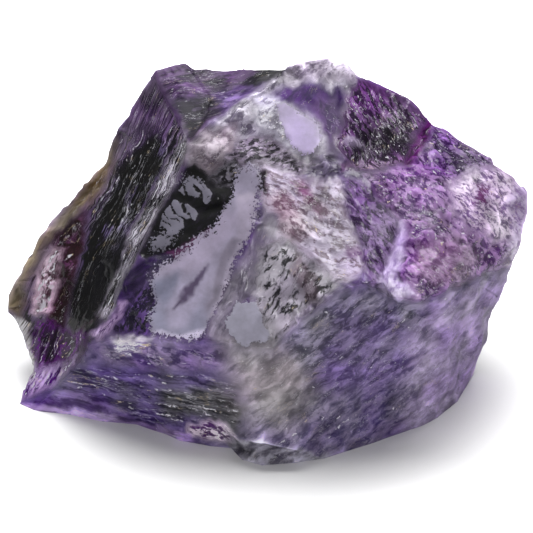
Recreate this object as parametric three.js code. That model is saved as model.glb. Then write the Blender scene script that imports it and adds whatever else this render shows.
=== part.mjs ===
// Rough amethyst: one broken lump of purple quartz, lying on its flattest broken side.
//
// The stone has no grown crystal faces. Its whole surface is fracture: a steep left side with a
// long grain, a broad shell-shaped blade in the middle, a hollow under the crown, a lumpy lobe with
// a ledge under it on the right, and one steep face below. The solid is built in three steps:
//   1. named corners along the ridges, hollows and edges, joined into fracture faces;
//   2. each face fanned about its middle, which is dished or swollen, and cut into small triangles;
//   3. a relief for each kind of break: grain, shell, hackle, ledges and plain rough quartz.
//
// Units are millimetres, +Z up. The stone lies on z = 0, its broad broken front faces -Y.
import * as THREE from 'three';
import { ImprovedNoise } from 'three/addons/math/ImprovedNoise.js';

// ---- driving dimensions -------------------------------------------------------------------------
const leanBack = 30 * Math.PI / 180; // the broad front leans back from upright by this angle
const lift = 18.6;                   // height of the front frame's middle above the underside
const frontEdge = 1.85;              // longest triangle edge on the front
const backEdge = 3.6;                // longest triangle edge on the back
const baseEdge = 6.0;                // longest triangle edge on the flat underside
const backStartsAt = -12;            // relief at which the front gives way to the back
const wander = 0.42;                 // how far a ridge strays from the straight line
const wanderLength = 5.2;            // distance over which it strays
const settle = 1.6;                  // height over which the straying dies out at the underside

// ---- corners ------------------------------------------------------------------------------------
// Corners on the front are [across, rise, relief] in a frame that leans back by leanBack: across is
// to the right, rise is up the face and relief comes out of it. Each line runs along one edge,
// ridge or hollow of the stone.
const frontLines = {
  // outer edge, clockwise from the left tip, round the crown and the right shoulder, then along
  // the foot back to the left
  rim: [
    [-31.3, -5.0, -14.0], [-30.5, -1.9, -13.8], [-28.3, 1.8, -13.6], [-26.0, 5.6, -13.4],
    [-22.2, 9.3, -13.0], [-19.5, 12.6, -12.8], [-18.0, 16.5, -12.2], [-16.4, 19.4, -11.5],
    [-13.3, 23.5, -10.0], [-9.7, 24.3, -10.5], [-8.4, 23.6, -10.5], [-4.9, 23.4, -9.5],
    [-1.4, 23.5, -8.0], [2.1, 23.8, -6.0], [4.5, 24.8, -5.0], [7.6, 25.1, -4.5],
    [9.6, 24.4, -5.0], [11.3, 23.0, -6.0], [14.0, 21.8, -7.0], [17.1, 20.0, -8.0],
    [20.1, 17.4, -8.5], [22.1, 16.4, -8.5], [24.1, 14.8, -8.5], [27.6, 12.3, -9.0],
    [30.0, 10.4, -9.5], [31.3, 8.9, -9.0], [31.4, 6.6, -8.5], [30.7, 3.2, -7.5],
    [29.5, 0.1, -6.5], [28.8, -2.1, -7.5], [28.1, -3.9, -8.5], [26.9, -7.2, -10.5],
    [25.7, -11.3, -12.5],
    // from here to 51 the edge is on the ground, so the relief follows from the rise
    [24.8, -13.4], [23.2, -16.2], [20.7, -18.2], [17.8, -19.5], [14.1, -20.8], [9.4, -22.3],
    [7.0, -23.1], [3.1, -23.5], [-0.5, -23.8], [-2.8, -23.1], [-4.0, -21.8], [-6.8, -21.5],
    [-10.4, -20.9], [-12.4, -20.0], [-15.7, -19.0], [-19.7, -18.6], [-23.8, -17.9],
    [-28.0, -17.2], [-29.8, -16.6],
    // and leaves it again for the left tip
    [-28.1, -13.0, -10.0], [-29.1, -10.3, -11.5], [-30.1, -6.6, -13.0],
  ],
  // the main ridge, from the crown down to the nose
  spine: [
    [0.4, 22.1, -4.4], [-2.3, 20.3, -2.8], [-4.6, 18.7, -1.6], [-7.5, 16.9, -0.6],
    [-9.2, 14.5, -0.1], [-9.4, 12.8, 0.0], [-10.3, 10.6, 0.2], [-11.6, 8.3, 0.6],
    [-12.8, 6.4, 0.9], [-14.0, 3.8, 1.2], [-15.3, 1.7, 1.5], [-17.0, -1.6, 1.8],
    [-18.5, -5.5, 2.0], [-21.8, -8.2, 1.3],
  ],
  // the nose's edge, going down to the foot
  keel: [[-21.8, -10.6, -0.5], [-23.3, -12.7, -3.0], [-24.8, -14.6, -5.5]],
  // the left side's middle, between the rim and the spine
  flank: [
    [-14.0, 14.9, -6.2], [-15.9, 10.6, -6.4], [-18.1, 6.5, -6.2], [-20.2, 2.2, -6.0],
    [-21.9, -2.1, -5.8], [-23.8, -5.9, -6.2], [-25.5, -9.8, -7.2], [-26.9, -13.6, -7.8],
  ],
  // the left edge of the facet at the upper left
  shoulder: [[-12.4, 20.9, -8.2], [-11.8, 19.3, -6.6], [-10.6, 17.6, -4.4], [-9.9, 15.4, -1.6]],
  // the slight hollow between the spine and the blade
  saddle: [[-6.2, 14.0, 0.9], [-8.0, 8.0, 2.0]],
  // the blade's two long edges, from its top down
  bladeLeft: [
    [-2.1, 12.2, 1.5], [-3.2, 7.4, 3.2], [-7.4, 3.4, 3.6], [-10.6, 1.1, 3.5],
    [-14.0, -1.6, 3.6], [-15.8, -4.6, 4.3],
  ],
  bladeRight: [[-0.5, 12.1, 2.1], [0.4, 7.0, 4.4], [-1.3, 3.8, 5.2], [-3.2, -0.2, 6.4], [-5.3, -4.0, 7.4]],
  // where the upper faces end over the lower face, from the nose to the lobe's right end
  brow: [
    [-18.5, -9.9, 3.0], [-14.0, -8.1, 6.4], [-11.0, -8.7, 7.6], [-7.4, -8.0, 8.4],
    [-3.7, -9.2, 9.0], [0.7, -9.4, 9.8], [4.0, -6.4, 10.2], [7.6, -3.5, 10.4],
    [11.2, -2.0, 10.4], [13.7, -1.9, 10.4], [15.7, -3.8, 11.0], [18.4, -3.8, 10.6],
    [21.4, -2.2, 8.0], [24.7, -1.1, 3.0],
  ],
  // the foot of the ledge under the lobe
  sill: [[14.2, -3.1, 9.0], [15.8, -4.8, 9.2], [18.5, -4.8, 8.6], [21.7, -3.2, 6.2], [24.9, -2.0, 1.6]],
  // the pale face in the middle
  heart: [[10.0, 6.2, 4.6], [11.2, 0.5, 8.4], [5.5, -2.2, 8.9], [2.2, 0.5, 7.0], [-0.5, -4.6, 8.2]],
  // the upper middle, below the crown
  crown: [
    [-1.4, 17.8, -1.2], [-0.5, 15.8, -0.2], [3.8, 14.0, 0.6], [6.2, 15.2, 0.2],
    [6.1, 17.8, -1.0], [4.0, 19.5, -2.4], [2.0, 20.2, -3.0], [9.7, 14.5, 0.4],
    [7.6, 18.5, -1.2], [10.3, 20.0, -3.0],
  ],
  // the hollow's floor
  hollow: [[13.0, 17.0, -4.5], [15.4, 15.2, -5.0], [11.2, 12.2, -1.5]],
  // the ridge that bounds the upper middle and the hollow from below
  crest: [[4.0, 11.0, 2.2], [9.0, 10.4, 2.0], [12.4, 11.2, 0.2], [16.5, 12.5, -0.8], [18.4, 14.7, -4.5]],
  // the lobe: its left edge, then its lumps
  lobe: [
    [13.3, 8.0, 3.0], [16.3, 5.3, 6.2], [15.7, 2.6, 8.0], [14.1, -0.2, 9.6],
    [20.8, 5.6, 5.5], [20.8, 1.4, 7.2], [24.4, 9.2, -1.0], [26.2, 3.8, 0.5],
    [19.6, 10.4, 1.2], [22.6, 12.8, -4.0],
  ],
  // the lower face
  wall: [
    [-17.6, -14.2, -1.8], [-10.4, -14.8, 3.2], [-3.2, -15.4, 6.3], [4.0, -14.2, 7.4],
    [11.2, -11.2, 6.5], [18.4, -10.0, 3.7], [22.0, -8.8, 0.1],
  ],
  // the lip low on the lower face, over the undercut at the foot
  lip: [[-3.8, -20.5, 5.2], [-0.5, -20.8, 6.6], [3.1, -21.5, 6.4]],
};

// Corners behind the front are [x, y, z] with the stone upright.
const backLines = {
  rear: [
    [-24.0, 16.0, 8.0], [-13.0, 23.0, 14.0], [-10.0, 24.5, 25.0], [4.0, 26.0, 17.0],
    [6.0, 23.0, 29.0], [19.0, 22.0, 16.0], [27.0, 15.0, 13.0], [-18.5, 21.0, 17.0],
  ],
  heel: [[-25.0, 9.0, 0.0], [-16.0, 17.0, 0.0], [-4.0, 20.0, 0.0], [8.0, 21.0, 0.0], [18.0, 16.0, 0.0], [24.0, 10.0, 0.0]],
};

// ---- fracture faces -----------------------------------------------------------------------------
// Each kind of break lists its faces, and each face is the loop of its corners. swell is how far
// the middle of the face stands out (or is dished, below 0), as a share of the face's size.
const frontFaces = {
  grain: { swell: -0.02, loops: [
    'rim8 rim7 rim6 flank0 shoulder1 shoulder0',
    'rim6 rim5 flank1 flank0',
    'rim5 rim4 rim3 flank2 flank1',
    'rim3 rim2 flank3 flank2',
    'rim2 rim1 flank4 flank3',
    'rim1 rim0 flank5 flank4',
    'rim0 rim54 rim53 flank6 flank5',
    'rim53 rim52 flank7 flank6',
    'rim52 rim51 rim50 flank7',
    'shoulder1 flank0 spine6 spine5 spine4 shoulder3 shoulder2',
    'flank0 flank1 spine8 spine7 spine6',
    'flank1 flank2 spine9 spine8',
    'flank2 flank3 spine11 spine10 spine9',
    'flank3 flank4 spine12 spine11',
    'flank4 flank5 spine13 spine12',
    'flank5 flank6 keel0 spine13',
    'flank6 flank7 keel2 keel1 keel0',
    'flank7 rim50 keel2',
  ] },
  shell: { swell: -0.03, loops: [
    'rim8 shoulder0 shoulder1 shoulder2 shoulder3 spine4 spine3 spine2 spine1 spine0 rim13 rim12 rim11 rim10 rim9',
    'spine1 spine2 spine3 spine4 saddle0 crown1 crown0',
    'spine4 spine5 spine6 saddle1 bladeLeft1 bladeLeft0 saddle0',
    'spine6 spine7 spine8 spine9 bladeLeft2 bladeLeft1 saddle1',
    'spine9 spine10 spine11 bladeLeft4 bladeLeft3 bladeLeft2',
    'spine11 spine12 spine13 brow0 brow1 bladeLeft5 bladeLeft4',
    'rim13 spine0 spine1 crown0 crown6',
    'crown6 crown0 crown1 crown2 crown3 crown4 crown5',
  ] },
  blade: { swell: 0, loops: [
    'bladeLeft0 bladeLeft1 bladeRight1 bladeRight0',
    'bladeLeft1 bladeLeft2 bladeRight3 bladeRight2 bladeRight1',
    'bladeLeft2 bladeLeft3 bladeLeft4 bladeLeft5 brow1 brow2 brow3 bladeRight4 bladeRight3',
  ] },
  ledges: { swell: 0.01, loops: [
    'bladeRight0 bladeRight1 bladeRight2 heart3 heart2 heart1 heart0 crest1 crest0',
    'bladeRight2 bladeRight3 bladeRight4 brow3 brow4 heart4 heart3',
    'heart4 brow4 brow5 brow6 heart2 heart3',
    'heart2 brow6 brow7 brow8 heart1',
    'crown1 saddle0 bladeLeft0 bladeRight0 crest0 crown2',
    'crown2 crest0 crest1 crown7 crown3',
  ] },
  hackle: { swell: 0.04, loops: [
    'lobe0 lobe1 lobe4 lobe8 crest3 crest2',
    'lobe1 lobe2 lobe5 lobe4',
    'lobe2 lobe3 brow9 brow10 brow11 brow12 lobe5',
    'lobe4 lobe5 brow12 brow13 lobe7',
    'lobe7 brow13 rim28 rim27',
    'lobe8 lobe4 lobe7 lobe6',
    'lobe6 lobe7 rim27 rim26 rim25 rim24',
    'crest3 lobe8 lobe6 lobe9',
    'lobe9 lobe6 rim24 rim23 rim22',
    'crest3 lobe9 rim22 rim21 rim20 crest4',
  ] },
  rough: { swell: -0.03, loops: [
    'crest1 heart0 heart1 brow8 brow9 lobe3 lobe2 lobe1 lobe0 crest2',
    'rim13 crown6 crown5 crown4 crown8 rim15 rim14',
    'crown4 crown3 crown7 crown8',
    'crown8 crown7 hollow2 hollow0 crown9',
    'rim15 crown8 crown9 rim17 rim16',
    'crown9 hollow0 rim18 rim17',
    'hollow0 hollow1 rim19 rim18',
    'hollow1 crest4 rim20 rim19',
    'crown7 crest1 crest2 hollow2',
    'hollow2 crest2 crest3 hollow1 hollow0',
    'hollow1 crest3 crest4',
    'brow8 sill0 brow9',
    'brow9 sill0 sill1 brow10',
    'brow10 sill1 sill2 brow11',
    'brow11 sill2 sill3 brow12',
    'brow12 sill3 sill4 brow13',
    'brow13 sill4 rim29 rim28',
    'lip0 rim43 rim42 rim41 rim40 lip2 lip1',
    'lip2 rim40 rim39',
  ] },
  lower: { swell: 0.02, loops: [
    'spine13 keel0 keel1 wall0 brow0',
    'keel1 keel2 rim50 rim49 rim48 wall0',
    'wall0 rim48 rim47 rim46 rim45 wall1',
    'brow0 wall0 wall1 brow2 brow1',
    'brow2 wall1 wall2 brow4 brow3',
    'wall1 rim45 rim44 rim43 lip0 wall2',
    'brow4 wall2 wall3 brow6 brow5',
    'wall2 lip0 lip1 lip2 wall3',
    'wall3 lip2 rim39 rim38 wall4',
    'brow6 wall3 wall4 brow8 brow7',
    'brow8 wall4 wall5 sill1 sill0',
    'wall4 rim38 rim37 rim36 wall5',
    'sill1 wall5 wall6 sill3 sill2',
    'wall5 rim36 rim35 wall6',
    'wall6 rim35 rim34 rim33 rim32',
    'sill3 wall6 rim32 rim31 rim30 sill4',
    'sill4 rim30 rim29',
  ] },
};
const backFaces = {
  rough: { swell: 0.03, loops: [
    'rim51 heel0 rim52',
    'rim52 heel0 rear0 rim0 rim54 rim53',
    'rim0 rear0 rear7 rim3 rim2 rim1',
    'rear0 heel0 heel1 rear1 rear7',
    'rim3 rear7 rim5 rim4',
    'rim5 rear7 rim6',
    'rear7 rear1 rear2 rim7 rim6',
    'rim7 rear2 rim10 rim9 rim8',
    'rear1 heel1 heel2 rear3',
    'rear2 rear1 rear3 rear4',
    'rim10 rear2 rear4 rim13 rim12 rim11',
    'rear4 rim17 rim16 rim15 rim14 rim13',
    'rear3 heel2 heel3 heel4 rear5',
    'rear4 rear3 rear5 rim20 rim19 rim18 rim17',
    'rear5 rear6 rim24 rim23 rim22 rim21 rim20',
    'rear5 heel4 heel5 rear6',
    'rear6 rim28 rim27 rim26 rim25 rim24',
    'rear6 heel5 rim33 rim32 rim31 rim30 rim29 rim28',
  ] },
};
const underside = [
  ...Array.from({ length: 19 }, (unused, step) => `rim${33 + step}`),
  ...Array.from({ length: 6 }, (unused, step) => `heel${step}`),
].join(' ');

// ---- the front's leaned frame -------------------------------------------------------------------
const leanCos = Math.cos(leanBack);
const leanSin = Math.sin(leanBack);

// A front corner stood upright. A corner with no relief of its own lies on the ground, at z = 0.
function upright([across, rise, relief]) {
  const out = relief ?? -(lift + rise * leanCos) / leanSin;
  return new THREE.Vector3(across, rise * leanSin - out * leanCos, lift + rise * leanCos + out * leanSin);
}

// The same the other way: across, rise and relief of an upright point.
function leaned({ x, y, z }) {
  const high = z - lift;
  return { across: x, rise: y * leanSin + high * leanCos, relief: high * leanSin - y * leanCos };
}

// ---- relief of each kind of break ---------------------------------------------------------------
const noise = new ImprovedNoise();
const smooth = THREE.MathUtils.smoothstep;

// Lumps of about the given size, from -1 to 1.
const lumps = (a, b, c, size) => 1.4 * noise.noise(a / size, b / size, c / size);

// Sharp crests between round hollows of about the given size, from 0 to 1.
const crests = (a, b, c, size) => 1 - Math.abs(lumps(a, b, c, size));

// Ledges: a slow rise and a sudden drop over each pitch, from 0 to 1.
const stairs = (along, pitch) => (along / pitch - Math.floor(along / pitch)) ** 3;

// Height in mm that each kind of break adds to its faces.
const reliefOf = {
  // long ribs, lengthwise down the left side
  grain({ across, rise, relief }) {
    const sideways = 0.88 * across - 0.47 * rise + 0.45 * relief;
    const along = 0.47 * across + 0.88 * rise;
    return 0.5 * crests(sideways, along / 7, 3, 2.3) + 0.3 * lumps(sideways, along / 4, 9, 4) - 0.4;
  },
  // a smooth shell-shaped break with faint rings
  shell({ across, rise, relief }) {
    const fromStrike = Math.hypot(across + 6, rise - 27);
    return 0.13 * Math.sin(fromStrike * 2.1 + lumps(across, rise, relief, 5)) + 0.25 * lumps(across, rise, relief, 4.2);
  },
  // the blade is nearly flat
  blade({ across, rise, relief }) {
    return 0.09 * lumps(across, rise, relief, 3.5);
  },
  // small ledges, one behind the other
  ledges({ across, rise, relief }) {
    const along = 0.8 * across + 0.6 * rise + 1.2 * lumps(across, rise, relief, 4);
    return 0.42 * stairs(along, 2.9) + 0.3 * lumps(across, rise, relief, 2.6) - 0.1;
  },
  // close, lumpy crests
  hackle({ across, rise, relief }) {
    return 0.85 * crests(across, rise, relief, 3.4) + 0.4 * crests(across, rise, relief + 20, 1.7) - 0.8;
  },
  // plain broken quartz
  rough({ across, rise, relief }) {
    return 0.5 * lumps(across, rise, relief, 4.5) + 0.3 * crests(across, rise, relief, 2.4) - 0.15;
  },
  // low flutes that rise to the right
  lower({ across, rise, relief }) {
    const sideways = 0.55 * across - 0.84 * rise;
    const along = 0.84 * across + 0.55 * rise;
    return 0.35 * lumps(sideways, along / 4, 5, 2.2) + 0.3 * lumps(across, rise, relief, 5);
  },
};

// ---- the cage of corners and faces --------------------------------------------------------------
const points = [];    // { position, inner, face }: inner is 0 on a face's edge and 1 at its middle
const triangles = []; // three indices into points each
const faces = [];     // { kind, swell, size, normal }
const cornerIndex = {};

function addCorners(lines, place) {
  for (const [line, corners] of Object.entries(lines)) {
    corners.forEach((corner, step) => {
      cornerIndex[`${line}${step}`] = points.length;
      points.push({ position: place(corner), inner: 0, face: -1 });
    });
  }
}

// Twice the area that a loop encloses as the front sees it: above 0 when it runs anticlockwise.
function frontArea(loop) {
  let area = 0;
  loop.forEach((index, step) => {
    const here = leaned(points[index].position);
    const next = leaned(points[loop[(step + 1) % loop.length]].position);
    area += here.across * next.rise - next.across * here.rise;
  });
  return area;
}

// One face: a fan of triangles from the loop's middle, turned so that it faces outwards. Side is 1
// on the front and -1 behind.
function addFace(kind, swell, names, side) {
  const loop = names.split(' ').map((name) => cornerIndex[name]);
  if (frontArea(loop) * side < 0) {
    loop.reverse();
  }
  const middle = new THREE.Vector3();
  const normal = new THREE.Vector3();
  let around = 0;
  loop.forEach((index, step) => {
    const here = points[index].position;
    const next = points[loop[(step + 1) % loop.length]].position;
    const length = here.distanceTo(next);
    middle.addScaledVector(here, length / 2).addScaledVector(next, length / 2);
    normal.add(here.clone().cross(next));
    around += length;
  });
  middle.divideScalar(around);
  const centre = points.length;
  points.push({ position: middle, inner: 1, face: faces.length });
  faces.push({ kind, swell, size: around / 4, normal: normal.normalize() });
  loop.forEach((index, step) => triangles.push([centre, index, loop[(step + 1) % loop.length]]));
}

function addFaces(kinds, side) {
  for (const [kind, { swell, loops }] of Object.entries(kinds)) {
    loops.forEach((names) => addFace(kind, swell, names, side));
  }
}

// ---- cutting the cage into small triangles ------------------------------------------------------
function longestAllowed(position) {
  if (position.z < 0.01) {
    return baseEdge;
  }
  return leaned(position).relief > backStartsAt ? frontEdge : backEdge;
}

// A triangle cut where its edges have a middle point: middleOf gives that point, or undefined.
function cut([a, b, c], middleOf) {
  const ab = middleOf(a, b);
  const bc = middleOf(b, c);
  const ca = middleOf(c, a);
  if (ab && bc && ca) {
    return [[a, ab, ca], [ab, b, bc], [ca, bc, c], [ab, bc, ca]];
  }
  if (ab && bc) {
    return [[ab, b, bc], [a, ab, bc], [a, bc, c]];
  }
  if (ab && !ca) {
    return [[a, ab, c], [ab, b, c]];
  }
  if (!ab && !bc && !ca) {
    return [[a, b, c]];
  }
  return cut([b, c, a], middleOf);
}

// Every edge that is too long is cut in half, again and again, the same for both of its triangles.
function refine(start) {
  const middles = new Map();
  const keyOf = (a, b) => `${Math.min(a, b)} ${Math.max(a, b)}`;
  for (const triangle of start) {
    triangle.forEach((a, step) => {
      const b = triangle[(step + 1) % 3];
      const from = points[a];
      const to = points[b];
      const position = from.position.clone().lerp(to.position, 0.5);
      const tooLong = from.position.distanceTo(to.position) > longestAllowed(position);
      if (tooLong && !middles.has(keyOf(a, b))) {
        middles.set(keyOf(a, b), points.length);
        const face = Math.max(from.inner > 0 ? from.face : -1, to.inner > 0 ? to.face : -1);
        points.push({ position, inner: (from.inner + to.inner) / 2, face });
      }
    });
  }
  if (middles.size === 0) {
    return start;
  }
  return refine(start.flatMap((triangle) => cut(triangle, (a, b) => middles.get(keyOf(a, b)))));
}

// ---- the finished surface -----------------------------------------------------------------------
// Ridges stray from the straight, and each face takes its swell and its relief. Both die out at the
// underside, which stays flat.
function finishedPosition({ position, inner, face }) {
  const grounded = smooth(position.z, 0, settle);
  const { x, y, z } = position;
  const strayed = new THREE.Vector3(
    x + wander * lumps(x, y, z, wanderLength),
    y + wander * lumps(y + 31, z, x, wanderLength),
    z + wander * grounded * lumps(z, x + 17, y, wanderLength),
  );
  if (inner === 0 || position.z < 0.01) {
    return strayed;
  }
  const { kind, swell, size, normal } = faces[face];
  const height = swell * size * inner * (2 - inner) + reliefOf[kind](leaned(position)) * smooth(inner, 0, 0.45);
  return strayed.addScaledVector(normal, height * grounded);
}

addCorners(frontLines, upright);
addCorners(backLines, (corner) => new THREE.Vector3(...corner));
addFaces(frontFaces, 1);
addFaces(backFaces, -1);
addFace('rough', 0, underside, -1);
const surface = refine(triangles);

const geometry = new THREE.BufferGeometry();
const finished = points.map(finishedPosition);
geometry.setAttribute('position', new THREE.Float32BufferAttribute(finished.flatMap((p) => [p.x, p.y, p.z]), 3));
geometry.setIndex(surface.flat());
geometry.computeVertexNormals();

const amethyst = new THREE.Mesh(
  geometry,
  new THREE.MeshStandardMaterial({ color: 0x5b3f86, roughness: 0.25, metalness: 0 }),
);
amethyst.name = 'amethyst';

// The origin is on the ground, below the middle of the stone's box.
geometry.computeBoundingBox();
const boxMiddle = geometry.boundingBox.getCenter(new THREE.Vector3());
amethyst.position.set(-boxMiddle.x, -boxMiddle.y, 0);

const stone = new THREE.Group();
stone.add(amethyst);

export default stone;
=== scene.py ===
# %% [markdown]
# # Rough amethyst
#
# One broken lump of purple quartz, about 63 mm long, lying on its flattest side on a white table.
# Nothing on it is made by hand: every face is a fracture, and the colour is in the stone, from
# clear and smoky through violet to nearly black. The solid frame already holds the main faces,
# ridges and hollows. This script grows a fine surface on that frame, works out where each kind of
# break and each tone lies, and lights it softly from above.
# Some light and shade are painted into the tones: plate sheen, glints, lit edges, shaded creases.

import itertools
import math

import bpy
import mathutils
import numpy as np
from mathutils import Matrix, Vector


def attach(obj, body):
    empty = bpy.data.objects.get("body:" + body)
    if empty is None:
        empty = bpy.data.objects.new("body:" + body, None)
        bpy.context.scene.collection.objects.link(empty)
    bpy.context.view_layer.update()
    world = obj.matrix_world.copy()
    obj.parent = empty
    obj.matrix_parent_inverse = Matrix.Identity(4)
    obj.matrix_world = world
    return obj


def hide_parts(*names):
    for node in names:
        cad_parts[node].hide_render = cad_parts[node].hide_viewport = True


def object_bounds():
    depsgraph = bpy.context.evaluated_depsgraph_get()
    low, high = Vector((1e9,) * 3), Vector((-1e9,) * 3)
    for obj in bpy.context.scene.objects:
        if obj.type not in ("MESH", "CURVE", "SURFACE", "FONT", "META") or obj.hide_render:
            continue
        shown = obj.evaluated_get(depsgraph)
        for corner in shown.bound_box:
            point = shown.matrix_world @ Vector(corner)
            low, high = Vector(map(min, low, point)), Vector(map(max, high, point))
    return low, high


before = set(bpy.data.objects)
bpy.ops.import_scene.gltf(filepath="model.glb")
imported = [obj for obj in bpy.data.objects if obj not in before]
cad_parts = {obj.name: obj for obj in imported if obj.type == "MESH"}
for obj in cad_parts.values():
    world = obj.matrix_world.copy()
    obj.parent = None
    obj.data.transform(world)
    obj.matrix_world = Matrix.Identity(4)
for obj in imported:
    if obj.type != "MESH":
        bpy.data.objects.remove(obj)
cad_box = [[float(value) for value in corner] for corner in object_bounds()]
print("frame nodes:", sorted(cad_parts), "box in m:", cad_box)

# %% [markdown]
# ## The front's own frame
#
# The broad broken front leans back by 30 degrees. Places on it are easiest to give as across (to
# the right), rise (up the face) and relief (out of it), in millimetres. The camera looks straight
# along the relief, so this is also how a person standing in front of the stone sees it.

# %% Sizes and the front's frame
MM = 0.001
LEAN = math.radians(30)
FRONT_MIDDLE = np.array([-0.09, -4.71, 18.6])


def to_front(points):
    """Across, rise and relief of points in mm. With high and back measured from the front's middle,
    rise is back times sin(lean) plus high times cos(lean), and relief is high times sin(lean)
    minus back times cos(lean)."""
    across, back, high = (points - FRONT_MIDDLE).T
    rise = back * math.sin(LEAN) + high * math.cos(LEAN)
    relief = high * math.sin(LEAN) - back * math.cos(LEAN)
    return np.stack([across, rise, relief], axis=1)


TOWARDS_FRONT = np.array([0.0, -math.cos(LEAN), math.sin(LEAN)])

# %% [markdown]
# ## Camera
#
# A long lens far away keeps the outline almost free of perspective, as a close product shot with
# a macro lens does.

# %% Camera
CAMERA_DISTANCE = 1500.0
VIEW_WIDTH = 63.96
SENSOR = 36.0

camera_data = bpy.data.cameras.new("camera")
camera_data.sensor_width = SENSOR
camera_data.lens = SENSOR * CAMERA_DISTANCE / VIEW_WIDTH
camera = bpy.data.objects.new("camera", camera_data)
camera.location = (FRONT_MIDDLE + CAMERA_DISTANCE * TOWARDS_FRONT) * MM
camera.rotation_euler = (math.pi / 2 - LEAN, 0, 0)
bpy.context.scene.collection.objects.link(camera)
bpy.context.scene.camera = camera
print("camera at", [round(value, 3) for value in camera.location], "lens", camera_data.lens)

# %% [markdown]
# ## Numbers that look random
#
# Broken quartz is irregular at every size, but the stone must come out the same each time. So the
# randomness is worked out from the place itself: a whole-number cell always gives the same number.

# %% Random numbers, soft lumps and tilted chips
def cell_random(cells, salt):
    """A number from 0 to 1 for each whole-number cell: the coordinates times large odd numbers are
    added up, and the high bits are folded into the low ones twice."""
    mixed = (cells @ np.array([73856093, 19349663, 83492791]) + salt * 668265263).astype(np.uint32)
    mixed = (mixed ^ (mixed >> np.uint32(13))) * np.uint32(1274126177)
    mixed = (mixed ^ (mixed >> np.uint32(16))) * np.uint32(2246822519)
    return (mixed ^ (mixed >> np.uint32(15))) / 2.0**32


def cell_vector(cells, salt):
    """Three such numbers, each from -1 to 1."""
    return 2 * np.stack([cell_random(cells, salt + turn) for turn in range(3)], axis=1) - 1


def lumps(points, size, salt=0):
    """Soft lumps from about -1 to 1. Each corner of a lattice has a random slope, and a point takes
    the heights of its eight corners' slopes, weighed by t cubed times (6 t squared - 15 t + 10)."""
    scaled = points / size
    base = np.floor(scaled).astype(np.int64)
    local = scaled - base
    fade = local**3 * (local * (local * 6 - 15) + 10)
    total = np.zeros(len(points))
    for corner in itertools.product((0, 1), repeat=3):
        slope = cell_vector(base + corner, salt)
        weight = np.prod(np.where(np.array(corner) == 1, fade, 1 - fade), axis=1)
        total += weight * (slope * (local - corner)).sum(axis=1)
    return 1.5 * total


def crests(points, size, salt=0):
    """Sharp crests between round hollows, from 0 to 1: one minus the size of the lumps."""
    return 1 - np.abs(lumps(points, size, salt))


def chips(points, size, salt=0):
    """Tilted plates with steps between them, from about -1 to 1. One point is scattered in each
    lattice cell, the nearest one owns the place, and the height is what its own random slope
    climbs from there."""
    scaled = points / size
    base = np.floor(scaled).astype(np.int64)
    nearest = np.full(len(points), np.inf)
    height = np.zeros(len(points))
    for shift in itertools.product((-1, 0, 1), repeat=3):
        cells = base + shift
        away = scaled - cells - 0.5 * (cell_vector(cells, salt) + 1)
        distance = (away**2).sum(axis=1)
        closer = distance < nearest
        climb = (cell_vector(cells, salt + 7) * away).sum(axis=1)
        height = np.where(closer, climb, height)
        nearest = np.where(closer, distance, nearest)
    return height


def smoothstep(low, high, value):
    """0 below low, 1 above high, and t squared times (3 - 2 t) between."""
    part = np.clip((value - low) / (high - low), 0, 1)
    return part * part * (3 - 2 * part)


# %% [markdown]
# ## From flat facets to a fine surface
#
# The frame's stone is about nine thousand flat facets, each one to two millimetres wide. Each
# facet becomes a curved patch that meets its neighbours, cut into sixteen small triangles, so
# there is somewhere for sub-millimetre grain to live. Sculpting this by hand would be slow, and a
# subdivision modifier would melt the ridges, so the patches are worked out directly.

# %% The frame's facets as arrays
STEPS = 4


def weld(points, grain=1e-4):
    """The distinct points, and for each given point the index of its distinct one. Points that
    round to the same multiple of grain are one."""
    keys = np.round(points / grain).astype(np.int64)
    _, first, index = np.unique(keys, axis=0, return_index=True, return_inverse=True)
    return points[first], index.reshape(-1)


def surface_normals(points, triangles):
    """Unit normals at the points: the cross products of the triangles' sides, which are as long as
    twice their areas, added up at their corners."""
    a, b, c = (points[triangles[:, corner]] for corner in range(3))
    cross = np.cross(b - a, c - a)
    corners = triangles.ravel()
    sums = [np.bincount(corners, np.repeat(column, 3), len(points)) for column in cross.T]
    total = np.stack(sums, axis=1)
    return total / np.maximum(np.linalg.norm(total, axis=1, keepdims=True), 1e-12)


stone_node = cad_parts["amethyst"]
loose = np.empty(len(stone_node.data.vertices) * 3)
stone_node.data.vertices.foreach_get("co", loose)
loose = loose.reshape(-1, 3) / MM
corner_of = np.empty(len(stone_node.data.loops), dtype=np.int32)
stone_node.data.loops.foreach_get("vertex_index", corner_of)
cage_points, merged = weld(loose)
cage_triangles = merged[corner_of.reshape(-1, 3)]
print("frame facets:", len(cage_triangles), "corners:", len(cage_points))

# %% [markdown]
# ### Curved patches
#
# Real fractures swell between their edges like a shell. A flat facet can't, so each one is bent
# into a cubic patch whose sides depend only on their own two corners and normals. Two facets that
# share a side therefore still meet without a gap. Facets that lie on the table stay flat.

# %% Curved patches
def patch_weights(steps):
    """The grid of shares (u, v, w) that add up to 1 over a triangle, and its small triangles."""
    rows = [(i, j, steps - i - j) for i in range(steps + 1) for j in range(steps + 1 - i)]
    place = {(i, j): index for index, (i, j, _) in enumerate(rows)}
    small = []
    for i, j, left in rows:
        if left >= 1:
            small.append((place[i, j], place[i + 1, j], place[i, j + 1]))
        if left >= 2:
            small.append((place[i + 1, j], place[i + 1, j + 1], place[i, j + 1]))
    return np.array(rows) / steps, np.array(small)


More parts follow.
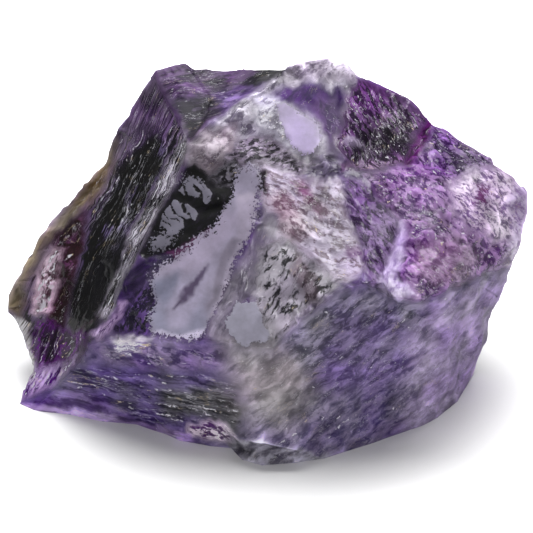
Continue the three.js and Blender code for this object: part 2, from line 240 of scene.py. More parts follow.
def curved_patches(corners, normals, shares, bend):
    """Points of a cubic triangle over each facet. The corners are kept. Each side has two inner
    control points, at its thirds, moved onto the tangent plane of the nearer corner, and the middle
    control point is the sides' mean plus half its distance from the corners' mean. bend from 0 to
    1 goes from the flat facet to the full curve."""
    u, v, w = (shares[:, k][None, :, None] for k in range(3))
    parts = (u, v, w)
    curve = sum(parts[k] ** 3 * corners[:, k, None] for k in range(3))
    inner = np.zeros_like(corners[:, 0])
    for near, far in itertools.permutations(range(3), 2):
        side = corners[:, far] - corners[:, near]
        off_plane = (side * normals[:, near]).sum(axis=1, keepdims=True)
        control = (2 * corners[:, near] + corners[:, far] - off_plane * normals[:, near]) / 3
        inner += control / 6
        curve = curve + 3 * parts[near] ** 2 * parts[far] * control[:, None]
    middle = inner + (inner - corners.mean(axis=1)) / 2
    curve = curve + 6 * u * v * w * middle[:, None]
    flat = np.einsum("gk,fkc->fgc", shares, corners)
    return flat, flat + bend * (curve - flat)


shares, small = patch_weights(STEPS)
cage_normals = surface_normals(cage_points, cage_triangles)
cage_corners = cage_points[cage_triangles]
BEND = 0.85
flat, curved = curved_patches(cage_corners, cage_normals[cage_triangles], shares, BEND)
on_ground = (cage_corners[:, :, 2] < 1e-3).all(axis=1)
curved[on_ground, :, 2] = 0.0
_, index = weld(flat.reshape(-1, 3))
count = np.bincount(index)
sums = [np.bincount(index, column) for column in curved.reshape(-1, 3).T]
points = np.stack(sums, axis=1) / count[:, None]
grid = index.reshape(len(cage_triangles), len(shares))
triangles = grid[:, small].reshape(-1, 3)
ground_points = np.unique(grid[on_ground])
points[ground_points, 2] = 0.0
print("surface points:", len(points), "triangles:", len(triangles))

# %% [markdown]
# ## Where each kind of break lies
#
# A look is laid down in layers, like a painter's washes: first the whole stone, then each zone
# over it. Each layer says how dark and how pale its stone is, how its fine pattern runs, and how
# rough its break is. A zone is an outline on the front, in millimetres across and up, with a soft
# or ragged edge. Everything here ends up as numbers stored on the surface's points.

# %% Zones and layers
place = to_front(points)
normals = surface_normals(points, triangles)
facing = smoothstep(-0.12, 0.1, normals @ TOWARDS_FRONT)
torn = [lumps(points, 1.1, salt) + 0.5 * lumps(points, 0.5, salt) for salt in (11, 12)]
torn = np.stack(torn, axis=1)
waved = np.stack([lumps(points, 4.0, salt) for salt in (13, 14)], axis=1)


def signed_distance(places, outline):
    """Millimetres from each place to the nearest side of a closed outline, minus outside it. A
    place is inside when a line from it to the right crosses an odd number of sides."""
    start = np.array(outline)
    side = np.roll(start, -1, axis=0) - start
    away = places[:, None] - start
    along = np.clip((away * side).sum(axis=2) / (side**2).sum(axis=1), 0, 1)
    gap = np.linalg.norm(away - along[..., None] * side, axis=2).min(axis=1)
    level = places[:, 1, None]
    crossed = (start[:, 1] > level) != ((start + side)[:, 1] > level)
    climb = np.where(side[:, 1] == 0, 1, side[:, 1])
    meets = start[:, 0] + (level - start[:, 1]) * side[:, 0] / climb
    inside = (crossed & (places[:, 0, None] < meets)).sum(axis=1) % 2 == 1
    return np.where(inside, gap, -gap)


def zone(outline, soft=0.4, ragged=0.35, wave=0.3):
    """How much each point belongs to a zone, 0 to 1: the signed distance from a place moved by
    fine and broad lumps, going from 0 to 1 over soft mm to either side, times how much the
    surface faces the front."""
    moved = place[:, :2] + ragged * torn + wave * waved
    return facing * smoothstep(-soft, soft, signed_distance(moved, outline))


look = {name: np.zeros((len(points), 3)) for name in ("dark", "pale", "flow")}
for name in ("share", "blur", "lines", "rough", "glint", "grit", "chip", "rib"):
    look[name] = np.zeros(len(points))
look["wear"] = np.ones(len(points))
grain_of = np.zeros(len(points))


def lay(mask, angle=None, long=1.0, wide=1.0, bend=0.0, beside=None, **values):
    """Blend new values over the old ones by the mask. With an angle in degrees above the
    across direction, the flow is also replaced where the mask is over a half: its parts are the
    places along, beside and out of the grain, divided by how long and wide its marks are. The
    places beside the grain may be given instead of worked out from the angle."""
    for name, value in values.items():
        old = look[name]
        share = mask if old.ndim == 1 else mask[:, None]
        look[name] = old + (np.asarray(value) - old) * share
    if angle is not None:
        turn = math.radians(angle)
        along = place[:, 0] * math.cos(turn) + place[:, 1] * math.sin(turn)
        if beside is None:
            beside = place[:, 1] * math.cos(turn) - place[:, 0] * math.sin(turn)
        beside = beside + bend * waved[:, 0]
        flow = np.stack([along / long, beside / wide, place[:, 2] / long], axis=1)
        look["flow"] = np.where((mask > 0.5)[:, None], flow, look["flow"])
        grain_of[mask > 0.5] = grain_of.max() + 1


def paint(outline, edge, dark, pale, share=None, grain=(), **values):
    """Lay a look inside an outline. edge is how soft, ragged and wavy the outline is, or only how
    soft, and grain is the angle and what follows it in lay."""
    if share is not None:
        values["share"] = share
    lay(zone(outline, *np.atleast_1d(edge)), *grain, dark=dark, pale=pale, **values)


everywhere = np.ones(len(points))
lay(
    everywhere, 20, 1.8, 1.1, 0.6,
    dark=(0.05, 0.03, 0.085), pale=(0.20, 0.145, 0.30), share=0.48, blur=0.3, lines=0.1, rough=0.27,
    chip=0.34, glint=0.12, grit=1.0,
)
smoky = smoothstep(0.0, 0.35, lumps(points, 11.0, 21))
lay(smoky, dark=(0.045, 0.036, 0.062), pale=(0.20, 0.17, 0.25), share=0.44)
plum = smoothstep(0.1, 0.4, lumps(points, 9.0, 22))
lay(plum, dark=(0.036, 0.016, 0.056), pale=(0.14, 0.08, 0.20), share=0.42)
frosted = smoothstep(0.2, 0.45, lumps(points, 7.0, 23))
lay(frosted, dark=(0.11, 0.08, 0.17), pale=(0.38, 0.32, 0.48), share=0.52)
print("points facing the front:", int((facing > 0.5).sum()))

# %% [markdown]
# ### The left side
#
# Here the stone split along its grain, so it is combed by long parallel ribs. Smoky quartz shows
# through in an olive rim, then maroon, then nearly black. Next to the spine the ribs have frayed
# into white silky fibres.

# %% Left side
SPINE = [
    (-28.0, -17.5), (-23.3, -12.7), (-18.5, -5.7), (-15.2, 2.0), (-11.3, 9.2), (-9.1, 14.5),
    (-5.0, 24.0),
]
spine_across, spine_rise = np.array(SPINE).T
SPINE_SLANT = 0.86
spine_at = np.interp(place[:, 1], spine_rise, spine_across)
off_spine = SPINE_SLANT * (place[:, 0] - spine_at)
LEFT_SIDE = [
    (-13.1, 23.3), (-16.3, 19.3), (-19.4, 12.5), (-22.0, 9.2), (-28.0, 1.7), (-31.6, -5.0),
    (-29.0, -10.3), (-28.0, -13.0), (-30.2, -17.2), (-27.9, -17.5), (-23.3, -12.7), (-21.8, -10.6),
    (-21.8, -8.2), (-18.5, -5.5), (-17.0, -1.6), (-14.0, 3.8), (-11.6, 8.3), (-9.4, 12.8),
    (-9.2, 14.5), (-10.6, 17.6), (-12.4, 20.9),
]
paint(
    LEFT_SIDE, (0.3, 0.2, 0.1), (0.006, 0.004, 0.009), (0.27, 0.19, 0.35), 0.22,
    grain=(62, 9.0, 0.4, 0.25, off_spine), blur=0.12, lines=0.9, rough=0.16, chip=0.04, rib=0.14,
    grit=0.1, glint=0.2, wear=0.15,
)
UPPER_LEFT = [
    (-13.2, 23.8), (-17.0, 19.0), (-19.0, 14.0), (-15.6, 11.5), (-12.2, 16.0), (-10.5, 18.5),
]
paint(
    UPPER_LEFT, 1.2, (0.022, 0.011, 0.035), (0.20, 0.14, 0.25), 0.36, blur=0.25, lines=0.6, rib=0.1,
    glint=0.2,
)
BLACK_BAND = [
    (-13.6, 16.0), (-11.8, 14.0), (-12.4, 11.2), (-15.8, 6.2), (-18.3, 0.8), (-19.7, -4.0),
    (-21.4, -8.2), (-23.6, -8.6), (-23.0, -2.8), (-21.4, 2.0), (-19.4, 7.4), (-17.3, 12.2),
]
paint(BLACK_BAND, 0.6, (0.001, 0.001, 0.001), (0.13, 0.10, 0.20), 0.12, blur=0.04, rough=0.12)
BLACK_FOOT = [
    (-23.2, -4.0), (-20.6, 0.8), (-17.8, 4.2), (-15.8, 3.4), (-17.8, -2.2), (-20.2, -6.8),
    (-22.2, -10.0), (-23.8, -12.2), (-23.9, -8.8),
]
paint(BLACK_FOOT, 0.8, (0.001, 0.001, 0.002), (0.03, 0.025, 0.04), 0.1, glint=0.03, rib=0.04)
AMBER_RIM = [
    (-18.2, 15.4), (-20.4, 12.0), (-22.2, 9.6), (-28.6, 1.9), (-32.0, -5.0), (-29.6, -6.4),
    (-29.2, -2.4), (-26.6, 3.0), (-22.8, 6.5), (-20.2, 9.0), (-18.6, 12.4),
]
paint(
    AMBER_RIM, 1.0, (0.05, 0.026, 0.009), (0.36, 0.30, 0.20), 0.45, grain=(57, 5.0, 1.1, 0.5),
    blur=0.3, lines=0.2, rib=0.0, wear=0.8, glint=0.16, rough=0.3,
)
MAROON = [
    (-26.0, 3.8), (-21.8, 6.9), (-21.4, 3.2), (-22.6, -0.4), (-23.3, -4.0), (-24.8, -8.4),
    (-27.0, -8.0), (-26.0, -4.0),
]
paint(
    MAROON, 0.5, (0.012, 0.001, 0.004), (0.07, 0.025, 0.06), 0.26, grain=(60, 2.2, 0.7, 0.8),
    blur=0.08, lines=0.3, chip=0.14, glint=0.2, grit=0.5, rib=0.1,
)
PINK_PATCH = [
    (-26.0, 2.6), (-24.6, 2.2), (-25.3, 0.0), (-25.2, -2.8), (-26.2, -5.8), (-28.4, -5.5),
    (-28.3, -3.4), (-27.2, 0.2),
]
paint(
    PINK_PATCH, 0.5, (0.06, 0.02, 0.035), (0.90, 0.70, 0.85), 0.5, grain=(60, 2.0, 0.8, 0.5),
    blur=0.14, lines=0.3, glint=0.4, grit=0.8, wear=1.0, rough=0.3,
)
SILK = [
    (-8.2, 16.4), (-9.1, 14.4), (-11.3, 9.2), (-14.0, 4.6), (-16.0, 0.4), (-17.8, -4.2),
    (-19.4, -6.6), (-19.9, -5.6), (-18.0, -0.6), (-17.2, 2.2), (-16.2, 5.0), (-14.5, 8.0),
    (-12.8, 11.0), (-11.0, 14.0), (-9.3, 16.2),
]
paint(
    SILK, (0.35, 0.3, 0.2), (0.006, 0.005, 0.007), (0.50, 0.46, 0.55), 0.235,
    grain=(63, 9.0, 0.22, 0.1, off_spine), blur=0.03, lines=0.95, rib=0.08, grit=0.05, glint=0.35,
)
PLUM_FOOT = [
    (-27.6, -6.2), (-23.6, -7.4), (-21.8, -8.2), (-22.4, -11.2), (-24.5, -13.6), (-28.0, -12.7),
    (-29.4, -10.3),
]
paint(
    PLUM_FOOT, 0.6, (0.01, 0.001, 0.014), (0.135, 0.016, 0.22), 0.4, grain=(60, 3.5, 0.6, 0.6),
    blur=0.2, lines=0.2, glint=0.25, grit=0.3,
)
VIOLET_FOOT = [
    (-29.0, -12.4), (-24.0, -11.4), (-22.6, -10.6), (-24.2, -14.0), (-26.9, -17.2), (-30.4, -17.3),
]
paint(
    VIOLET_FOOT, 0.5, (0.06, 0.015, 0.12), (0.70, 0.54, 0.85), 0.4, grain=(60, 3.0, 0.6, 0.5),
    blur=0.16, lines=0.3, glint=0.3, grit=0.3,
)
# The edge is clear quartz; its pale glow is painted light shining through it.
CLEAR_EDGE_GLOW = [
    (-33.0, -5.9), (-28.6, -6.6), (-28.5, -9.4), (-27.9, -11.8), (-28.2, -13.4), (-33.0, -14.0),
]
paint(CLEAR_EDGE_GLOW, 0.4, (0.14, 0.12, 0.12), (0.92, 0.90, 0.94), 0.6, blur=0.08, glint=0.3)

# %% [markdown]
# ### The top
#
# The top breaks into a dusky facet on the left, a pale glassy middle with one flat lavender plate,
# and a crumbly white crown.

# %% Top
TOP_FACET = [
    (-13.6, 23.5), (-9.7, 24.9), (-4.9, 24.0), (2.5, 24.2), (-2.3, 20.3), (-7.5, 16.9),
    (-9.2, 14.5), (-10.6, 17.6), (-12.4, 20.9),
]
paint(
    TOP_FACET, (0.3, 0.2, 0.1), (0.02, 0.009, 0.034), (0.155, 0.09, 0.21), 0.48,
    grain=(12, 4.0, 0.8, 0.6), blur=0.18, lines=0.3, chip=0.1, grit=0.15, glint=0.15, wear=0.4,
    rough=0.4,
)
TOP_SHADE = [(-12.1, 20.3), (-8.6, 21.0), (-6.2, 20.0), (-7.4, 17.8), (-8.9, 15.2), (-10.3, 17.6)]
paint(TOP_SHADE, 0.7, (0.01, 0.006, 0.018), (0.066, 0.042, 0.10), 0.35)
TOP_VIOLET = [(-6.4, 20.6), (-1.2, 22.6), (0.4, 22.0), (-2.4, 20.0), (-5.4, 18.6)]
paint(TOP_VIOLET, 0.7, (0.045, 0.018, 0.10), (0.20, 0.12, 0.34), 0.5)
TOP_DARK = [(-0.6, 23.8), (2.5, 24.4), (2.0, 23.2), (-1.4, 21.6), (-2.8, 22.2)]
paint(TOP_DARK, 0.4, (0.006, 0.005, 0.010), (0.05, 0.04, 0.07), 0.35)
UPPER_CENTRE = [
    (-9.2, 14.5), (-4.6, 18.7), (2.3, 23.6), (4.5, 25.2), (9.0, 24.4), (11.2, 21.4), (8.8, 15.2),
    (5.5, 12.8), (3.8, 10.6), (-2.2, 12.4), (-4.8, 9.6), (-8.0, 10.2), (-9.4, 12.4),
]
paint(
    UPPER_CENTRE, (0.4, 0.3, 0.2), (0.14, 0.12, 0.17), (0.56, 0.52, 0.62), 0.5,
    grain=(45, 2.0, 0.9, 0.8), blur=0.14, lines=0.2, chip=0.24, grit=0.6, glint=0.12,
)
GREY_KNOB = [
    (-9.3, 14.4), (-7.4, 16.4), (-3.8, 17.0), (-3.0, 14.0), (-4.0, 11.0), (-6.4, 10.4),
    (-8.4, 10.8), (-9.4, 12.4),
]
paint(
    GREY_KNOB, 0.8, (0.12, 0.085, 0.12), (0.50, 0.42, 0.50), 0.5, grain=(25, 1.6, 1.0, 0.8),
    blur=0.24, lines=0.05, chip=0.05, grit=0.15, glint=0.16, wear=0.5,
)
KNOB_PLUM = [(-4.9, 13.2), (-3.4, 13.6), (-3.4, 11.8), (-5.4, 11.0), (-7.0, 11.4)]
paint(KNOB_PLUM, 0.7, (0.03, 0.015, 0.03), (0.14, 0.10, 0.14), 0.4, blur=0.35)
VIOLET_CAP = [
    (0.2, 20.2), (2.0, 22.0), (5.0, 22.4), (8.0, 21.2), (10.4, 19.6), (9.0, 16.0), (6.4, 17.9),
    (4.0, 18.9),
]
paint(
    VIOLET_CAP, 0.8, (0.017, 0.002, 0.055), (0.07, 0.015, 0.16), grain=(60, 2.6, 1.2, 0.8),
    blur=0.28, lines=0.05, chip=0.1, grit=0.2, glint=0.1, wear=0.2, rough=0.6,
)
VIOLET_STREAK = [
    (5.0, 19.4), (6.6, 20.6), (9.2, 18.2), (11.0, 13.8), (9.4, 12.0), (7.6, 13.8), (6.6, 16.4),
]
paint(
    VIOLET_STREAK, 0.7, (0.03, 0.01, 0.065), (0.14, 0.07, 0.22), 0.45, grain=(-62, 2.4, 0.9, 0.5),
    blur=0.22, lines=0.15, chip=0.05, grit=0.2, glint=0.1, wear=0.2, rough=0.6,
)
HACKLE_BAND = [
    (-3.8, 15.4), (-0.5, 15.8), (2.2, 15.0), (3.8, 13.6), (6.2, 12.8), (4.0, 11.1), (-0.5, 12.2),
    (-3.2, 11.8), (-5.0, 13.0),
]
paint(
    HACKLE_BAND, (0.4, 0.6), (0.028, 0.021, 0.034), (0.40, 0.33, 0.45), 0.5,
    grain=(15, 1.1, 0.55, 0.5), blur=0.14, lines=0.1, chip=0.3, grit=0.8, glint=0.05,
)
FROSTED_TOP = [
    (-1.6, 17.4), (-1.2, 20.2), (1.2, 20.6), (2.4, 19.6), (2.6, 16.8), (3.6, 14.0), (2.0, 14.6),
    (0.2, 15.8),
]
paint(
    FROSTED_TOP, (0.6, 0.5), (0.26, 0.235, 0.32), (0.64, 0.61, 0.72), 0.56,
    grain=(40, 1.3, 0.7, 0.4), blur=0.15, lines=0.1, chip=0.14, grit=0.8, glint=0.25,
)
CROWN = [
    (1.6, 22.6), (4.5, 25.4), (7.6, 25.8), (11.4, 23.6), (10.6, 22.0), (8.2, 22.4), (5.2, 22.6),
    (3.1, 21.6),
]
paint(
    CROWN, 0.5, (0.24, 0.20, 0.28), (0.75, 0.67, 0.81), 0.55, grain=(30, 1.4, 0.8, 0.5), blur=0.18,
    lines=0.1, chip=0.16, grit=0.5, glint=0.15,
)

# %% [markdown]
# ### The middle
#
# A tilted pale face full of small ledges, a grey hackly corner, a brown lens and two rust spots:
# the reddish tones are iron that coloured the quartz.

# %% Middle
PALE_FACE = [
    (-0.6, 12.3), (3.7, 11.0), (8.8, 10.3), (9.9, 7.6), (9.9, 6.2), (10.9, 4.4), (11.4, 2.0),
    (11.9, -0.2), (9.6, -1.8), (5.5, -2.8), (2.2, 0.0), (-0.6, 2.4), (-0.3, 7.0), (-0.9, 9.6),
]
paint(
    PALE_FACE, (0.4, 0.4, 0.2), (0.21, 0.155, 0.21), (0.58, 0.51, 0.65), 0.6,
    grain=(-25, 1.6, 0.8, 0.7), blur=0.12, lines=0.1, chip=0.12, grit=0.5, glint=0.16,
)
ROSE_STREAK = [(2.8, 10.3), (4.6, 10.2), (7.6, 6.6), (6.6, 5.8), (4.6, 7.6)]
paint(ROSE_STREAK, 0.6, (0.10, 0.03, 0.08), (0.23, 0.085, 0.20), 0.45)
ROSE_LOW = [(0.2, 8.4), (2.2, 9.2), (4.2, 6.4), (5.4, 3.6), (3.0, 3.0), (1.0, 5.0)]
paint(ROSE_LOW, 1.0, (0.20, 0.12, 0.17), (0.58, 0.46, 0.55), 0.5)
GREY_BAND = [
    (-0.3, 6.5), (-2.0, 3.2), (-3.2, 0.5), (-5.0, -2.8), (-6.4, -5.5), (-7.4, -8.3), (-3.8, -9.5),
    (-4.4, -7.0), (-2.8, -4.6), (-0.6, -2.2), (0.2, 2.0), (1.4, 6.2),
]
paint(
    GREY_BAND, (0.35, 0.2), (0.11, 0.09, 0.14), (0.29, 0.25, 0.34), 0.5, grain=(62, 3.6, 0.9, 0.4),
    blur=0.22, chip=0.08, grit=0.15, glint=0.08,
)
HACKLE_GREY = [
    (-1.2, 2.6), (2.4, 3.2), (6.2, 0.4), (8.4, -2.6), (4.6, -5.4), (0.9, -9.6), (-0.6, -7.6),
    (-1.6, -4.0),
]
paint(
    HACKLE_GREY, (0.5, 0.5), (0.02, 0.018, 0.024), (0.48, 0.44, 0.52), 0.6,
    grain=(62, 2.2, 0.9, 0.7), blur=0.12, chip=0.1, grit=0.7, glint=0.16,
)
BROWN_LENS = [
    (3.5, 2.0), (4.6, 0.5), (6.2, -1.6), (6.1, -4.2), (5.2, -4.6), (3.8, -2.5), (2.9, -1.0),
]
paint(BROWN_LENS, 0.4, (0.06, 0.042, 0.055), (0.24, 0.20, 0.24), 0.45)
WHITE_CHIP = [(-0.1, 5.1), (0.5, 6.1), (1.3, 5.5), (1.2, 3.2), (0.2, 3.2)]
paint(WHITE_CHIP, (0.2, 0.15, 0.0), (0.23, 0.21, 0.26), (0.41, 0.37, 0.45), 0.7, grit=0.1)
BROWN_CHIP = [(-1.0, 11.8), (0.3, 11.5), (-0.1, 8.8), (-0.9, 9.2)]
paint(BROWN_CHIP, 0.3, (0.005, 0.0015, 0.005), (0.018, 0.009, 0.021), 0.4)
RUST_SPOT = [(9.5, 2.7), (11.0, 2.7), (11.0, 1.2), (9.5, 1.4)]
paint(RUST_SPOT, (0.3, 0.5), (0.075, 0.016, 0.11), (0.25, 0.17, 0.28), 0.5)

# %% [markdown]
# ### The right side
#
# A deep violet hollow with bright scratches, a thin magenta ridge that glows with painted light
# shining through it, and the big lobe. The lobe is crumbly and pale at its right end, where painted
# sheen adds to the paleness and painted light shines through its rim.

# %% Right side
DARK_FACET = [
    (9.2, 11.0), (11.8, 10.2), (13.4, 8.2), (15.2, 6.4), (16.3, 5.2), (15.8, 3.2), (14.6, 0.5),
    (13.6, -2.6), (11.9, -1.4), (11.4, 0.5), (10.9, 3.2), (9.8, 6.2),
]
paint(
    DARK_FACET, (0.5, 0.5), (0.036, 0.015, 0.06), (0.24, 0.15, 0.33), 0.44,
    grain=(-58, 2.0, 0.7, 0.6), blur=0.16, lines=0.15, chip=0.18, grit=0.5, glint=0.06,
)
HOLLOW = [
    (8.4, 15.0), (9.4, 20.0), (11.0, 22.4), (12.6, 22.2), (16.0, 20.6), (20.2, 17.6), (18.2, 14.2),
    (16.5, 12.5), (12.4, 11.3), (10.3, 11.8),
]
paint(
    HOLLOW, 0.6, (0.03, 0.012, 0.045), (0.27, 0.135, 0.35), 0.38, grain=(-62, 2.0, 0.55, 0.6),
    blur=0.14, lines=0.3, chip=0.04, grit=1.0, glint=0.26, rough=0.15, wear=0.0,
)
HOLLOW_SHADE = [(11.8, 17.0), (15.0, 17.4), (18.4, 15.2), (16.4, 12.9), (12.4, 12.2), (10.4, 12.8)]
paint(HOLLOW_SHADE, 1.2, (0.008, 0.003, 0.012), (0.06, 0.03, 0.08), 0.32, glint=0.24)
HOLLOW_CHIP = [(9.6, 15.9), (10.6, 15.7), (11.6, 14.7), (11.2, 14.2), (10.0, 14.4), (9.5, 15.2)]
paint(HOLLOW_CHIP, (0.25, 0.15, 0.1), (0.20, 0.16, 0.24), (0.56, 0.48, 0.64), 0.6, glint=0.1)
HOLLOW_LIP = [
    (8.8, 12.2), (11.2, 12.9), (14.0, 12.6), (16.6, 13.4), (16.4, 12.6), (13.4, 11.7), (11.0, 11.8),
    (9.0, 11.6),
]
paint(HOLLOW_LIP, (0.25, 0.3, 0.1), (0.03, 0.008, 0.04), (0.36, 0.22, 0.42), 0.44, blur=0.15)
LOBE = [
    (11.6, 11.0), (13.6, 11.6), (16.5, 12.3), (18.0, 14.6), (20.0, 17.6), (23.9, 15.2),
    (27.4, 12.7), (32.0, 9.4), (32.0, 6.5), (31.2, 3.0), (29.9, 0.1), (25.6, -0.9), (22.0, -2.4),
    (18.4, -4.2), (15.7, -4.0), (13.7, -2.1), (15.2, 1.6), (16.3, 5.3), (13.3, 8.0),
]
paint(
    LOBE, (0.35, 0.3, 0.1), (0.085, 0.03, 0.14), (0.37, 0.22, 0.46), 0.5,
    grain=(-35, 1.6, 0.85, 0.8), blur=0.13, lines=0.1, chip=0.26, grit=1.0, glint=0.22,
)
LOBE_TOP = [(18.6, 14.6), (20.0, 18.0), (27.6, 12.9), (27.0, 10.0), (23.0, 10.4), (19.2, 12.4)]
paint(LOBE_TOP, 1.2, (0.04, 0.014, 0.075), (0.28, 0.18, 0.38), 0.42)
# The pale crumbly end, made paler still with painted sheen.
LOBE_PALE_AND_SHEEN = [
    (22.0, 9.6), (25.0, 11.6), (28.4, 12.2), (32.0, 9.4), (32.0, 3.4), (28.0, 3.0), (24.4, 4.4),
    (22.6, 6.8),
]
paint(
    LOBE_PALE_AND_SHEEN, 1.2, (0.22, 0.15, 0.29), (0.95, 0.80, 1.0), 0.54, grain=(-35, 1.1, 0.6, 0.6),
    blur=0.16, grit=0.8, glint=0.2, chip=0.14,
)
# The lobe's rim glows with painted light shining through it.
LOBE_RIM_GLOW = [
    (29.0, 8.0), (30.6, 10.8), (32.2, 9.4), (32.0, 3.0), (30.2, -0.6), (28.4, 0.4), (29.6, 4.0),
]
paint(LOBE_RIM_GLOW, 0.8, (0.36, 0.26, 0.46), (0.74, 0.64, 0.84), 0.5, grit=0.3)
LOBE_BROWN = [(18.4, 3.0), (23.2, 3.8), (25.6, 1.2), (23.2, -1.6), (19.9, -2.4), (17.4, -0.6)]
paint(LOBE_BROWN, 1.0, (0.16, 0.085, 0.18), (0.55, 0.37, 0.60), 0.5, grit=0.5, blur=0.28, wear=0.4)
WHITE_CREST = [
    (16.5, 5.6), (16.7, 3.8), (16.3, 0.5), (15.6, -1.0), (17.4, -3.4), (15.6, -4.0), (13.4, -2.4),
    (14.3, 0.5), (15.5, 3.2),
]
paint(
    WHITE_CREST, 0.4, (0.33, 0.22, 0.49), (0.83, 0.70, 1.0), 0.56, grain=(62, 1.4, 0.7, 0.4),
    blur=0.2, lines=0.1, chip=0.06, grit=0.3,
)
# The ridge is magenta quartz; its glow is painted light shining through it.
MAGENTA_RIDGE = [(16.4, 12.3), (17.6, 15.0), (19.5, 17.7), (20.2, 17.3), (18.9, 14.6), (17.2, 12.2)]
paint(
    MAGENTA_RIDGE, (0.25, 0.15, 0.1), (0.014, 0.001, 0.019), (0.19, 0.035, 0.23), 0.42,
    grain=(56, 3.0, 0.5, 0.3), blur=0.12, lines=0.4, glint=0.2, grit=0.4,
)
PIT = [(25.2, 9.8), (26.8, 9.8), (26.6, 7.4), (25.2, 7.4)]
paint(PIT, 0.6, (0.20, 0.08, 0.20), (0.80, 0.62, 0.92), 0.4)

# %% [markdown]
# ### The lower face
#
# The undercut face below is fibrous at the left, hazy grey in the middle, and clear violet with
# drifting streaks at the right.

# %% Lower face
LOWER_FACE = [
    (-30.2, -16.6), (-26.0, -14.6), (-23.3, -12.6), (-21.2, -9.6), (-18.0, -8.8), (-14.6, -8.8),
    (-10.4, -9.0), (-7.4, -8.9), (-1.6, -9.8), (0.9, -9.8), (4.4, -6.2), (8.4, -3.0), (12.0, -2.2),
    (14.6, -3.8), (18.4, -4.4), (25.6, -1.2), (30.4, 0.0), (27.0, -13.0), (21.0, -20.0),
    (8.0, -26.0), (-4.0, -26.0), (-15.0, -20.6), (-30.2, -17.8),
]
paint(
    LOWER_FACE, (0.3, 0.2, 0.1), (0.05, 0.035, 0.12), (0.31, 0.25, 0.43), 0.45,
    grain=(36, 2.4, 0.8, 0.5), blur=0.3, lines=0.1, rough=0.3, chip=0.12, grit=0.5, glint=0.14,
)
FIBRES = [
    (-30.2, -16.6), (-25.4, -14.6), (-23.3, -12.4), (-16.4, -10.6), (-9.0, -12.0), (-3.2, -13.6),
    (-2.6, -19.0), (-10.4, -21.4), (-19.7, -19.4), (-30.2, -17.8),
]
paint(
    FIBRES, 0.8, (0.03, 0.017, 0.08), (0.195, 0.145, 0.345), 0.46, grain=(-12, 6.0, 0.8, 0.3),
    blur=0.2, lines=0.25, chip=0.08, rib=0.16, grit=0.25, glint=0.2,
)
VIOLET_TOE = [
    (-29.0, -16.8), (-24.0, -14.6), (-20.0, -16.2), (-16.0, -18.2), (-22.0, -18.4), (-29.6, -17.4),
]
paint(VIOLET_TOE, 0.8, (0.06, 0.02, 0.15), (0.28, 0.17, 0.50), 0.5, glint=0.1)
NOSE = [
    (-21.6, -9.4), (-18.0, -8.6), (-14.0, -9.0), (-8.0, -9.4), (-4.2, -9.6), (-4.8, -12.2),
    (-12.0, -12.2), (-19.0, -11.6),
]
paint(
    NOSE, 0.6, (0.055, 0.03, 0.125), (0.30, 0.22, 0.42), 0.46, grain=(-8, 2.4, 0.9, 0.4), blur=0.2,
    lines=0.1, chip=0.14, grit=0.5, glint=0.2,
)
# A small painted highlight on the nose.
NOSE_SPARKLE = [
    (-18.4, -8.6), (-15.6, -8.4), (-13.6, -8.8), (-14.4, -9.8), (-16.6, -10.6), (-18.2, -10.6),
]
paint(NOSE_SPARKLE, (0.5, 0.5), (0.24, 0.18, 0.37), (1.0, 0.95, 1.0), 0.46, glint=0.5, blur=0.05)
DARK_FLUTE = [
    (-12.6, -15.0), (-6.0, -14.2), (-2.4, -16.6), (-3.4, -20.0), (-8.0, -18.4), (-12.4, -18.0),
]
paint(DARK_FLUTE, 0.9, (0.018, 0.017, 0.024), (0.13, 0.125, 0.15), 0.42, glint=0.3, grit=0.6)
HAZE = [
    (-4.8, -9.6), (0.9, -9.4), (5.0, -7.4), (7.0, -9.6), (5.2, -15.6), (2.4, -19.2), (-1.6, -18.2),
    (-4.3, -14.6),
]
paint(
    HAZE, 3.2, (0.26, 0.235, 0.255), (0.53, 0.48, 0.52), 0.5, blur=0.3, lines=0.0, chip=0.06,
    grit=0.5, glint=0.14,
)
SMOKE_STREAKS = [
    (1.6, -8.6), (8.8, -3.2), (14.0, -4.2), (19.0, -4.8), (20.0, -7.4), (12.0, -10.0), (4.6, -12.4),
]
paint(
    SMOKE_STREAKS, 1.4, (0.065, 0.058, 0.10), (0.40, 0.36, 0.50), 0.48, blur=0.22, lines=0.2,
    grit=0.5, glint=0.18,
)
VIOLET_DEEP = [(8.0, -5.6), (14.6, -5.0), (17.0, -8.0), (16.6, -13.0), (10.0, -15.8), (5.6, -13.4)]
paint(VIOLET_DEEP, 2.0, (0.065, 0.042, 0.13), (0.34, 0.26, 0.51), 0.45, glint=0.15)
LOWER_RIGHT = [
    (19.4, -4.4), (30.4, -0.4), (27.0, -13.0), (21.3, -18.6), (16.6, -19.4), (17.4, -8.8),
]
paint(
    LOWER_RIGHT, 2.0, (0.17, 0.125, 0.26), (0.64, 0.51, 0.81), 0.5, blur=0.36, lines=0.05, grit=0.3,
    glint=0.13,
)
LIP_UNDER = [
    (-5.0, -20.6), (-0.5, -20.9), (4.0, -21.8), (8.6, -22.9), (3.1, -25.0), (-0.5, -25.0),
    (-4.0, -23.3),
]
paint(LIP_UNDER, 0.4, (0.11, 0.10, 0.14), (0.58, 0.56, 0.65), 0.45)
VIOLET_SPOT = [
    (-9.4, -18.8), (-6.2, -18.4), (-4.0, -19.4), (-4.0, -21.0), (-7.4, -20.8), (-9.4, -20.1),
]
paint(
    VIOLET_SPOT, (0.4, 0.4), (0.10, 0.045, 0.15), (1.0, 0.88, 1.0), 0.4,
    grain=(-12, 1.2, 0.45, 0.3), blur=0.06,
)
FOOT_BAND = [
    (-30.2, -16.4), (-24.8, -17.0), (-15.2, -18.7), (-9.0, -20.0), (-9.0, -21.2), (-15.2, -20.0),
    (-24.8, -18.6), (-30.2, -17.6),
]
